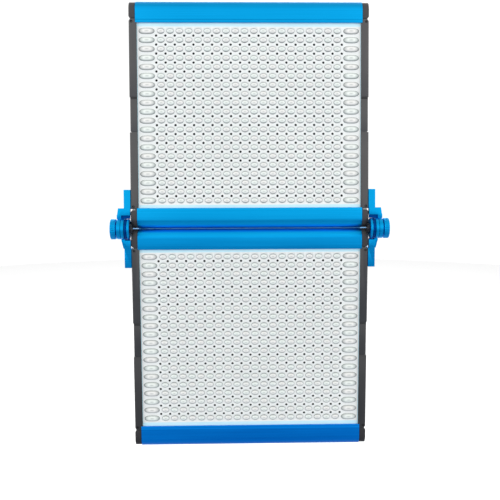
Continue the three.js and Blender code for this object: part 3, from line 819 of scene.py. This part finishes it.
def cover_mesh(rails):
    """A channel with a grip recess halfway up, a groove across each end of the recess, and the
    outer corners of both ends cut."""
    notched = cover_section(RAIL_END + PART_GAP)
    full = cover_section(COVER_INNER)
    slim = cover_section(COVER_INNER, GRIP_RECESS)
    deep = cover_section(COVER_INNER, GRIP_GROOVE)
    grip = GRIP_LENGTH / 2

    def half(rail, groove):
        """The sections from one end to the grip, by their distance from the middle."""
        notch = MIDDLE - rail - PART_GAP
        return [
            (MIDDLE - COVER_END, notched),
            (notch, notched),
            (notch - 0.02, full),
            (grip, full),
            (grip - 0.1, deep),
            (grip - groove, deep),
            (grip - groove - 0.1, slim),
        ]

    bottom = [(MIDDLE - z, outline) for z, outline in half(rails["bottom"], 1.2)]
    top = [(MIDDLE + z, outline) for z, outline in reversed(half(rails["top"], 3))]
    bm = loft("z", bottom + top)
    for end, way in ((COVER_END, -1), (HEAD_HEIGHT - COVER_END, 1)):
        sliced(bm, (COVER_OUTER, 0, end - way * CORNER_CUT), (1, 0, way))
    softened(bm, 0.3, 2, 30)
    holes = []
    for z in COVER_SCREW_Z:
        for depth in ((-1, SCREW_SINK), (HEAD_DEPTH - SCREW_SINK, HEAD_DEPTH + 1)):
            holes.append(moved(rod("y", SCREW_HOLE, *depth, steps=24), x=COVER_SCREW_X, z=z))
    return carved(bm, merged(*holes))


def grip_bands():
    """The dark strips in the wide grooves at the grip recesses' upper ends."""
    inner, outer = COVER_INNER + 0.4, COVER_OUTER - GRIP_GROOVE + 0.8
    front, back = 0.45, HEAD_DEPTH - 0.5
    outline = [
        (inner, front), (outer, front), (outer, back),
        (outer - 1, back), (outer - 1, front + 0.8), (inner, front + 0.8),
    ]
    top = MIDDLE + GRIP_LENGTH / 2
    bands = [softened(prism("z", outline, top - 2.95, top - 0.15), 0.1) for _ in range(2)]
    return merged(bands[0], mirrored(bands[1]))


def cover_screws():
    """The small sunk screws at both ends of the side covers, front and back."""
    screws = []
    for x in (-COVER_SCREW_X, COVER_SCREW_X):
        for z in COVER_SCREW_Z:
            screws.append(screw("y", SCREW_HOLE - 0.25, (x, SCREW_SINK, z), -1))
            screws.append(screw("y", SCREW_HOLE - 0.25, (x, HEAD_DEPTH - SCREW_SINK, z), 1))
    return merged(*screws)


def gap_light_strip():
    """The strip in the hinge side's groove that closes the gap between the open heads. Its pale blue is painted
    light: it stands for the light seen through the gap and bounces fill onto the rails.
    """
    depth = (HEAD_DEPTH / 2 - GAP_STRIP_HALF_WIDTH, HEAD_DEPTH / 2 + GAP_STRIP_HALF_WIDTH)
    height = (HEAD_HEIGHT + GAP_STRIP_Z[0], HEAD_HEIGHT + GAP_STRIP_Z[1])
    return softened(block((-RAIL_END + 0.5, RAIL_END - 0.5), depth, height), 0.15)


def add_frame(which):
    body = which + "_head"
    place = head_place(which)
    for edge in ("bottom", "top"):
        node = f"{which}_{edge}_rail"
        rail = at_edge(edge, rail_mesh(RAILS[which][edge]))
        piece(node + "_extrusion", rail, "rail_blue", body, place, [node])
        at_hinge = (which, edge) in (("lower", "top"), ("upper", "bottom"))
        inset = CAP_INSET["hinge" if at_hinge else "outer"]
        for side in ("left", "right"):
            node = f"{which}_{edge}_{side}_cap"
            cap = at_edge(edge, on_side(side, cap_mesh(inset)))
            piece(node + "_moulding", cap, "moulded_black", body, place, [node])
    for side in ("left", "right"):
        node = f"{which}_{side}_cover"
        cover = on_side(side, cover_mesh(RAILS[which]))
        piece(node + "_moulding", cover, "cover_black", body, place, [node])
    piece(which + "_cover_screws", cover_screws(), "knob_black", body, place)
    piece(which + "_grip_bands", grip_bands(), "knob_black", body, place)


# ---- A head's back ----

HOUSING_HALF_WIDTH = 115
HOUSING_Z = (56, 246)
HOUSING_Y = (28, 54)
HOUSING_RADIUS = 12
HOUSING_ROUND = 3
HOUSING_WALL = 2.2
VENT_COUNT = 9
VENT_PITCH = 7
VENT_LENGTH = 66
VENT_HEIGHT = 3
VENT_BOTTOM = 164
VENT_OFFSET = 52
CONTROL_Z = 92
WINDOW_HALF = (76, 20)
FASCIA_BACK = 57.3
INLET_X = -62
KNOB_X = {"dimmer": 36, "colour": 63}
KNOB_RADIUS = 11
KNOB_LENGTH = 11
FIRST_TICK = -60
TICK_STEP = 30
TICKS = 11
TICK_START = 11.8
TICK_END = 12.7
LONG_TICK_END = 13.3
PANEL_BACK = 27.7
HOUSING_SCREW = 3.0
HOUSING_SCREW_INSET = 10
PANEL_SCREW = 2.6
PANEL_SCREW_X = 142
PANEL_SCREW_Z = 36


def shell_outline(inset):
    return rounded_rect(
        HOUSING_HALF_WIDTH - inset,
        HOUSING_Z[0] + inset,
        HOUSING_Z[1] - inset,
        HOUSING_RADIUS - inset,
        steps=12,
    )


def rounded_shell(inset, front, back):
    """A shallow tray shape, its back edge rounded."""
    sections = [(front, shell_outline(inset))]
    for i in range(7):
        angle = math.pi / 2 * i / 6
        depth = back - HOUSING_ROUND * (1 - math.sin(angle))
        sections.append((depth, shell_outline(inset + HOUSING_ROUND * (1 - math.cos(angle)))))
    return loft("y", sections)


def vent_slot(x, z, depth):
    radius = VENT_HEIGHT / 2
    outline = rounded_rect(VENT_LENGTH / 2, 0, VENT_HEIGHT, radius - 0.01, steps=6)
    return moved(prism("y", outline, *depth), x=x, z=z)


def housing_mesh():
    """The cover over the driver, hollow, with two banks of vents and a window for the controls."""
    inner_back = HOUSING_Y[1] - HOUSING_WALL
    shell = rounded_shell(0, *HOUSING_Y)
    hollow = rounded_shell(HOUSING_WALL, HOUSING_Y[0] - 5, inner_back)
    through = (inner_back - 1, HOUSING_Y[1] + 1)
    slots = []
    for x in (-VENT_OFFSET, VENT_OFFSET):
        for i in range(VENT_COUNT):
            slots.append(vent_slot(x, VENT_BOTTOM + i * VENT_PITCH, through))
    half_x, half_z = WINDOW_HALF
    window = block((-half_x, half_x), through, (CONTROL_Z - half_z, CONTROL_Z + half_z))
    body = carved(shell, hollow, merged(*slots), window)
    return softened(body, 0.35, 2, 40)


def rear_screws():
    """The screws of the housing and of the back panel."""
    housing_x = HOUSING_HALF_WIDTH - HOUSING_SCREW_INSET
    low, high = (HOUSING_Z[0] + HOUSING_SCREW_INSET, HOUSING_Z[1] - HOUSING_SCREW_INSET)
    places = [(x, HOUSING_Y[1], z) for x in (-housing_x, housing_x) for z in (low, high)]
    screws = [screw("y", HOUSING_SCREW, place) for place in places]
    for x in (-PANEL_SCREW_X, 0, PANEL_SCREW_X):
        for z in (PANEL_SCREW_Z, MIDDLE, HEAD_HEIGHT - PANEL_SCREW_Z):
            if x or z != MIDDLE:
                screws.append(screw("y", PANEL_SCREW, (x, PANEL_BACK, z)))
    return merged(*screws)


def control_knob_mesh():
    """A fluted knob on a skirt, with a dished face and a shaft into the fascia."""
    front = FASCIA_BACK + 0.5
    end = front + KNOB_LENGTH
    radius = KNOB_RADIUS
    cap = fluted("y", (20, 6), [
        (front, radius - 0.3, 0),
        (front + 0.3, radius, 0),
        (front + 1.7, radius, 0),
        (front + 2.2, radius - 0.6, 0),
        (front + 2.8, radius - 1.3, 0.22),
        (end - 1.2, radius - 1.7, 0.22),
        (end - 0.4, radius - 2.1, 0.12),
        (end, radius - 2.8, 0),
        (end - 0.05, radius - 3.6, 0),
        (end - 0.5, radius - 4.4, 0),
    ])
    return merged(cap, rod("y", 3, FASCIA_BACK - 8, front - 0.01))


def radial_mark(angle, near, far, width, depth):
    """A printed line along a radius, in x and z."""
    bm = block((near, far), depth, (-width / 2, width / 2))
    bmesh.ops.rotate(bm, matrix=Matrix.Rotation(-math.radians(angle), 3, "Y"), verts=bm.verts)
    return bm


def dial_mesh():
    """The ticks round both knobs."""
    marks = []
    depth = (FASCIA_BACK - 0.2, FASCIA_BACK + 0.08)
    for x in KNOB_X.values():
        for i in range(TICKS):
            far = TICK_END if i % 5 else LONG_TICK_END
            mark = radial_mark(FIRST_TICK + i * TICK_STEP, TICK_START, far, 0.5, depth)
            marks.append(moved(mark, x=x, z=CONTROL_Z))
    return merged(*marks)


def pins_mesh():
    """The inlet's insulator and its four contacts."""
    floor = FASCIA_BACK - 10.9
    parts = [rod("y", 6.6, floor, floor + 1.2, 0.1)]
    for i in range(4):
        angle = math.pi / 4 + math.pi / 2 * i
        pin = rod("y", 0.9, floor + 1, floor + 6, 0.3, steps=16)
        parts.append(moved(pin, x=3.2 * math.cos(angle), z=3.2 * math.sin(angle)))
    return moved(merged(*parts), x=INLET_X, z=CONTROL_Z)


def add_back(which):
    body = which + "_head"
    place = head_place(which)
    piece(which + "_housing_shell", housing_mesh(), "powder_black", body, place,
          [which + "_rear_housing"], crease=25)
    piece(which + "_rear_screws", rear_screws(), "zinc_steel", body, place)
    piece(which + "_dial_marks", dial_mesh(), "print_grey", body, place)
    piece(which + "_inlet_contacts", pins_mesh(), "zinc_steel", body, place)
    refined(which + "_back_panel", "powder_black", 0.3)
    refined(which + "_control_fascia", "moulded_black", 0.3)
    refined(which + "_display_window", "display_glass", 0.2)
    refined(which + "_power_inlet", "zinc_steel", 0.3)
    refined(which + "_power_switch", "knob_black", 0.5)
    for control, x in KNOB_X.items():
        node = f"{which}_{control}_knob"
        knob_body = f"{which}_{control}"
        knob = moved(control_knob_mesh(), x=x, z=CONTROL_Z)
        piece(node + "_fluted", knob, "knob_black", knob_body, place, [node])
        top = FASCIA_BACK + 0.5 + KNOB_LENGTH
        pointer = radial_mark(FIRST_TICK, 4.5, 8.2, 0.9, (top - 0.6, top + 0.06))
        piece(node + "_pointer", moved(pointer, x=x, z=CONTROL_Z), "print_grey", knob_body, place)


# ---- The hinge ----

ARM_X = (161, 164)
SPACER_X = (164.3, 167.6)
SPACER_RADIUS = 13.2
LOWER_LUG_X = (168, 172)
UPPER_LUG_X = (172.6, 177.3)
STUD_HEAD_X = (157.6, 160.7)
STUD_END = 183
STUD_RADIUS = 4.9
STUD_HOLE = 5.3
NECK_X = 177.6
TILT_KNOB_X = (178.9, 186.2)
TILT_KNOB_RADIUS = 13.4
LUG_RADIUS = 13.6
BAR_X = (160.3, 169.3)
BAR_Y = (2, 20)
BAR_Z = (27, 52.8)
BAR_SCREW = 3.2
BAR_SCREW_Z = (33, 46)
SHELF_Y = (0.4, 20.2)
INNER_SHELF_Y = (0.4, 7)
COVE_RADIUS = 13.75
COVE_BOTTOM = 9.5
HOOD_Y = (3.4, 4.6)
LOWER_SHELF = {"z": 15.5, "inner_z": 15.5, "x": 172.8, "end": 26.5, "slant": 2.7}
UPPER_SHELF = {"z": 16, "inner_z": 18.4, "x": 178.6, "end": 28, "slant": 1.8}
PLATES = {"lower": (LOWER_LUG_X, LOWER_SHELF, -1), "upper": (UPPER_LUG_X, UPPER_SHELF, 1)}


def between(one, two, sign):
    """A range of z, measured up from the pivot or down from it."""
    return tuple(sorted((sign * one, sign * two)))


def hinge_plate_mesh(lug, shelf, sign):
    """The +X plate: a bar on the side cover, a shelf over the end cap and a lug on the pivot."""
    inner = LOWER_LUG_X[0]
    inboard = (ARM_X[0] - 0.3, inner + 1)
    under = shelf["inner_z"] + 1
    outline = [
        (lug[0], sign * shelf["z"]),
        (shelf["x"], sign * shelf["z"]),
        (shelf["x"] - shelf["slant"], sign * shelf["end"]),
        (inner, sign * shelf["end"]),
    ]
    if lug[0] > inner:
        outline += [(inner, sign * shelf["inner_z"]), (lug[0], sign * shelf["inner_z"])]
    cove = carved(
        block((inner, shelf["x"]), (HOOD_Y[1], SHELF_Y[1]), between(COVE_BOTTOM, under, sign)),
        rod("x", COVE_RADIUS, inner - 1, shelf["x"] + 1, steps=96),
    )
    plate = fused(
        block(BAR_X, BAR_Y, between(*BAR_Z, sign)),
        block(inboard, INNER_SHELF_Y, between(shelf["inner_z"], shelf["end"] + 1, sign)),
        block((lug[0], shelf["x"]), (SHELF_Y[0], HOOD_Y[1]), between(COVE_RADIUS, under, sign)),
        prism("y", outline, *SHELF_Y),
        cove,
        block(lug, (SHELF_Y[0] + 0.1, LUG_RADIUS - 0.1), between(0, under, sign)),
        rod("x", LUG_RADIUS, *lug, steps=96),
    )
    carved_plate = carved(plate, rod("x", STUD_HOLE, lug[0] - 1, lug[1] + 1))
    softened(carved_plate, 0.25, 2, 35)
    middle = (BAR_Y[0] + BAR_Y[1]) / 2
    screws = [screw("x", BAR_SCREW, (BAR_X[1], middle, sign * z)) for z in BAR_SCREW_Z]
    return merged(carved_plate, *screws)


def painted_shadow_strip_mesh(lug, shelf, sign):
    """A navy strip set back under a shelf, next to the round parts: a painted shadow."""
    span = (ARM_X[0] - 0.2, lug[0] + 0.2)
    return block(span, HOOD_Y, between(COVE_RADIUS, shelf["inner_z"] + 0.4, sign))


def stud_mesh():
    low, high = STUD_HEAD_X
    return lathe("x", [
        (0, low + 1.4), (2.6, low + 1.4), (2.8, low), (5.7, low), (6.3, low + 0.6), (6.3, high),
        (STUD_RADIUS, high), (STUD_RADIUS, STUD_END), (0, STUD_END),
    ], steps=48)


def spacer_mesh():
    low, high = SPACER_X
    return lathe("x", [
        (STUD_HOLE, low), (SPACER_RADIUS - 0.4, low), (SPACER_RADIUS, low + 0.4),
        (SPACER_RADIUS, high - 0.4), (SPACER_RADIUS - 0.4, high), (STUD_HOLE, high),
    ], steps=64)


def tilt_knob_mesh():
    """A fluted thumb knob with a neck and a dished face."""
    low, high = TILT_KNOB_X
    radius = TILT_KNOB_RADIUS
    body = fluted("x", (36, 6), [
        (low, radius - 1.0, 0),
        (low + 0.3, radius - 0.4, 0),
        (low + 1.0, radius, 0.2),
        (high - 0.5, radius, 0.2),
        (high - 0.15, radius - 0.25, 0.1),
        (high, radius - 0.7, 0),
        (high - 0.01, radius - 3.6, 0),
        (high - 0.7, radius - 4.4, 0),
    ])
    whole = fused(body, rod("x", 8, NECK_X, low + 0.5))
    return carved(whole, rod("x", STUD_HOLE, NECK_X - 1, STUD_END + 1))


def add_hinge():
    parts = [
        ("lower_hinge_plate", "milling", "anodised_blue", "lower_head", "lower",
         lambda: hinge_plate_mesh(*PLATES["lower"])),
        ("upper_hinge_plate", "milling", "anodised_blue", "upper_head", "upper",
         lambda: hinge_plate_mesh(*PLATES["upper"])),
        ("hinge_stud", "turning", "black_oxide", "lower_head", "lower", stud_mesh),
        # The spacer's navy is painted shadow.
        ("hinge_spacer", "turning", "painted_shadow_navy", "lower_head", "lower", spacer_mesh),
        ("tilt_knob", "turning", "anodised_blue", None, "lower", tilt_knob_mesh),
    ]
    for node, kind, finish, body, which, make in parts:
        for side in ("left", "right"):
            bm = on_side(side, make())
            name = f"{node}_{side}"
            piece(f"{name}_{kind}", bm, finish, body or name, pivot_place(which), [name])
    # The navy strips under the shelves are painted shadow.
    for which, plate in PLATES.items():
        shadow_strips = merged(painted_shadow_strip_mesh(*plate), mirrored(painted_shadow_strip_mesh(*plate)))
        piece(which + "_hinge_shadow_strips", shadow_strips, "painted_shadow_navy", which + "_head", pivot_place(which))


# ---- The yoke and the stand receiver ----

PIVOT_AT = (0, PIVOT.y / MM, PIVOT.z / MM)
CROSSBAR_Y = (-21, -17)
BEND = 10
ARM_HALF = 9
RECEIVER_RADIUS = 16.5
RECEIVER_HEIGHT = 62
SOCKET_RADIUS = 8.2
SOCKET_DEPTH = 50
BOLT_X = 8.5
CLAMP_Z = 20
CLAMP_LOBES = (5, 16)


def yoke_mesh():
    """A flat bar bent to a U, with round ends on the hinge's axis."""
    inner, outer = ARM_X
    front, back = CROSSBAR_Y
    pivot_y = PIVOT_AT[1]
    inner_bend = BEND - (outer - inner)
    right = [(inner, pivot_y)] + arc((inner - inner_bend, front - inner_bend), inner_bend, 0, 90, 12)
    right_outer = arc((outer - BEND, back - BEND), BEND, 90, 0, 12) + [(outer, pivot_y)]
    inner_path = [(-x, y) for x, y in right] + list(reversed(right))
    outer_path = list(reversed(right_outer)) + [(-x, y) for x, y in right_outer]
    bar = prism("z", inner_path + outer_path, PIVOT_AT[2] - ARM_HALF, PIVOT_AT[2] + ARM_HALF)
    ends = []
    holes = []
    for low, high in (ARM_X, (-outer, -inner)):
        ends.append(moved(rod("x", LUG_RADIUS, low, high, steps=96), *PIVOT_AT))
        holes.append(moved(rod("x", STUD_HOLE, low - 1, high + 1), *PIVOT_AT))
    for x in (-BOLT_X, BOLT_X):
        holes.append(moved(rod("y", 3.3, front - 1, back + 1), x=x, z=PIVOT_AT[2]))
    return softened(carved(fused(bar, *ends), *holes), 0.6, 3, 35)


def receiver_mesh():
    """A casting with a pad for the crossbar, the stand's socket and a boss for the clamp knob."""
    pad_y = CROSSBAR_Y[1] + 0.3
    top_z = RECEIVER_HEIGHT
    casting = fused(
        rod("z", RECEIVER_RADIUS, 0, top_z, 1.5, steps=96),
        block((-16, 16), (pad_y, 0), (38, top_z)),
        moved(rod("y", 10, 0, 20), z=CLAMP_Z),
    )
    softened(casting, 0.9, 3, 35)
    holes = [rod("z", SOCKET_RADIUS, -1, SOCKET_DEPTH), moved(rod("y", 4.3, 0, 22), z=CLAMP_Z)]
    for x in (-BOLT_X, BOLT_X):
        holes.append(moved(rod("y", 3.3, pad_y - 1, -8.7), x=x, z=PIVOT_AT[2]))
    return softened(carved(casting, *holes), 0.4, 2, 50)


def bolt_mesh():
    """A cap screw with a hexagon socket."""
    head = (-26.2, CROSSBAR_Y[0] - 0.3)
    body = lathe("y", [
        (0, head[0]), (4.3, head[0]), (4.8, head[0] + 0.15), (5, head[0] + 0.6), (5, head[1]),
        (3, head[1]), (3, -9), (0, -9),
    ], steps=48)
    return carved(body, prism("y", lobed(2.9, 0, 6, 1), head[0] - 1, head[0] + 2.6))


def clamp_knob_mesh():
    """A lobed knob on a hub and a threaded stem."""
    low, high = 26, 38
    sections = []
    for i in range(5):
        angle = math.pi / 2 * i / 4
        inset = 1.8 * (1 - math.sin(angle))
        sections.append((low + 1.8 * (1 - math.cos(angle)), lobed(15 - inset, 2, *CLAMP_LOBES)))
    sections += [(low + high - w, outline) for w, outline in reversed(sections)]
    sections.append((high - 0.01, lobed(9.5, 0, *CLAMP_LOBES)))
    sections.append((high - 0.8, lobed(8.7, 0, *CLAMP_LOBES)))
    grip = loft("y", sections)
    hub = lathe("y", [(0, 22), (7.4, 22), (8, 22.5), (8.6, 27), (0, 27)], steps=48)
    turns = []
    for i in range(12):
        y = 9.6 + i
        turns += [(3.55, y - 0.45), (4, y), (3.55, y + 0.45)]
    stem = lathe("y", [(0, 8.6), (3.2, 8.6), (3.55, 9.0), *turns, (3.55, 23), (0, 23)], steps=32)
    return moved(merged(grip, hub, stem), z=CLAMP_Z)


def add_stand_parts():
    piece("yoke_bar", yoke_mesh(), "anodised_blue", "yoke", None, ["yoke"])
    piece("stand_receiver_casting", receiver_mesh(), "powder_black", "yoke", None, ["stand_receiver"])
    for side, x in (("left", -BOLT_X), ("right", BOLT_X)):
        bolt = moved(bolt_mesh(), x=x, z=PIVOT_AT[2])
        node = "receiver_bolt_" + side
        piece(node + "_turning", bolt, "black_oxide", "yoke", None, [node])
    clamp = "receiver_clamp_knob"
    piece(clamp + "_moulding", clamp_knob_mesh(), "knob_black", "clamp_knob", None, [clamp])


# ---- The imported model's own pieces ----

bodies = frame["record"]["behaviour"]["bodies"]
BODY_OF = {node: body for body, nodes in bodies.items() for node in nodes}


def refined(node, finish, width):
    """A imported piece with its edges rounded."""
    source = frame["nodes"][node]
    bm = bmesh.new()
    bm.from_mesh(source.data)
    bmesh.ops.transform(bm, matrix=Matrix.Scale(1 / MM, 4) @ source.matrix_world, verts=bm.verts)
    softened(cleaned(bm), width, 2, 35)
    return piece(node + "_rounded", bm, finish, BODY_OF[node], None, [node])


def dress(node, finish):
    """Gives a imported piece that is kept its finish."""
    mesh = frame["nodes"][node].data
    mesh.materials.clear()
    mesh.materials.append(FINISHES[finish])


# ---- Studio and camera ----

CAMERA_DISTANCE = 0.9367
CAMERA_PITCH = 6.24
CAMERA_YAW = 1.33
CAMERA_ROLL = 0.32
CAMERA_ASIDE = (0.0002, 0.02875)
CAMERA_LENS = 50.17
FLOOR_DROP = 1.2
FLOOR_RADIUS = 7
FLOOR_BACK = 2.5
# The floor's front is painted a darker blue-grey for all but camera rays: painted shade in what the light mirrors.
FLOOR_SHADE_Y = (0.1, 1.4)
FLOOR_PAINTED_SHADE = (0.36, 0.39, 0.46)
SKY_STRENGTH = 1.1
OVERHEAD = 0.7
OVERHEAD_Z = (0.35, 0.8)
LOW_SKY = (0.42, 0.46, 0.56)
LOW_SKY_Z = (-0.24, 0.14)
FRONT_SKY_Y = (-0.1, 0.35)


def add_camera():
    """Looks at the hinge from a little above it."""
    upright = Matrix(((1, 0, 0), (0, 0, 1), (0, -1, 0)))
    turn = (
        Matrix.Rotation(math.radians(CAMERA_ROLL), 3, "Z")
        @ Matrix.Rotation(math.radians(CAMERA_YAW), 3, "Y")
        @ Matrix.Rotation(math.radians(CAMERA_PITCH), 3, "X")
        @ upright
    )
    back = turn.transposed()
    data = bpy.data.cameras.new("camera")
    data.lens = CAMERA_LENS
    data.sensor_width = 36
    data.clip_start = 0.01
    camera = in_scene("camera", data)
    offset = Vector((-CAMERA_ASIDE[0], -CAMERA_ASIDE[1], CAMERA_DISTANCE))
    camera.matrix_world = Matrix.Translation(PIVOT + back @ offset) @ back.to_4x4()
    bpy.context.scene.camera = camera


def add_world():
    """A white studio. What the light mirrors is dimmer overhead and low down in front of it."""
    world = bpy.data.worlds.new("studio")
    sky = NodeTree(world, "Generated")
    height = sky.along("Z")
    high = sky.mapped(height, *LOW_SKY_Z)
    behind = sky.mapped(sky.along("Y"), *FRONT_SKY_Y)
    white = sky.computed("MAXIMUM", sky.computed("MAXIMUM", high, behind), sky.seen())
    strength = sky.mapped(height, *OVERHEAD_Z, SKY_STRENGTH, SKY_STRENGTH * OVERHEAD)
    background = sky.nodes["Background"].inputs
    sky.links.new(sky.shades(white, LOW_SKY, (1.0, 1.0, 1.0), (0.0, 1.0)), background["Color"])
    sky.links.new(strength, background["Strength"])
    bpy.context.scene.world = world


def add_softbox(name, at, size, watts, down=False, reflected=True):
    """A rectangular light that faces the hinge or the floor."""
    data = bpy.data.lights.new(name, "AREA")
    data.shape = "RECTANGLE"
    data.size, data.size_y = size
    data.energy = watts
    light = in_scene(name, data)
    light.location = at
    if not down:
        light.rotation_euler = (PIVOT - Vector(at)).to_track_quat("-Z", "Y").to_euler()
    light.visible_camera = False
    light.visible_glossy = reflected


def add_floor():
    """A pale floor, well below the light as it is on its stand. To the camera it is white; to what the light
    mirrors, its front is a painted shade of blue-grey.
    """
    bm = bmesh.new()
    bmesh.ops.create_circle(bm, cap_ends=True, radius=FLOOR_RADIUS, segments=96)
    bmesh.ops.translate(bm, vec=(0, FLOOR_BACK, PIVOT.z - FLOOR_DROP), verts=bm.verts)
    mesh = mesh_from(bm, "floor")
    paint = Finish("floor_paint", Roughness=0.9, Specular_IOR_Level=0.0)
    white = paint.computed("MAXIMUM", paint.mapped(paint.along("Y"), *FLOOR_SHADE_Y), paint.seen())
    paint.coloured(white, FLOOR_PAINTED_SHADE, (0.99, 0.99, 0.99), (0.0, 1.0))
    mesh.materials.append(FINISHES["floor_paint"])
    in_scene("floor", mesh)


# ---- The whole light ----

bpy.context.scene.view_settings.view_transform = "Standard"
add_camera()
add_world()
add_softbox("key", (0, -1.7, 2.2), (3.0, 2.2), 18, reflected=False)
add_softbox("backdrop", (0, 4.2, 2.8), (5.0, 4.0), 90, down=True, reflected=False)
add_softbox("left_fill", (-2.1, -1.1, 0.3), (0.9, 2.0), 11)
add_softbox("right_fill", (2.1, -1.1, 0.3), (0.9, 2.0), 11)
add_softbox("rear_fill", (0, 1.8, 1.3), (2.0, 1.2), 16)
add_floor()

for head, seed in (("lower", 3), ("upper", 7)):
    add_lens_field(head, seed)
    add_frame(head)
    add_back(head)
    dress(head + "_led_board", "led_board")
    dress(head + "_heat_sink", "bare_aluminium")
    dress(head + "_driver_board", "driver_board")
# A pale strip in the gap between the heads: painted light.
piece("lower_gap_light_strip", gap_light_strip(), "gap_painted_light", "lower_head", head_place("lower"))
add_hinge()
add_stand_parts()

bpy.context.view_layer.update()
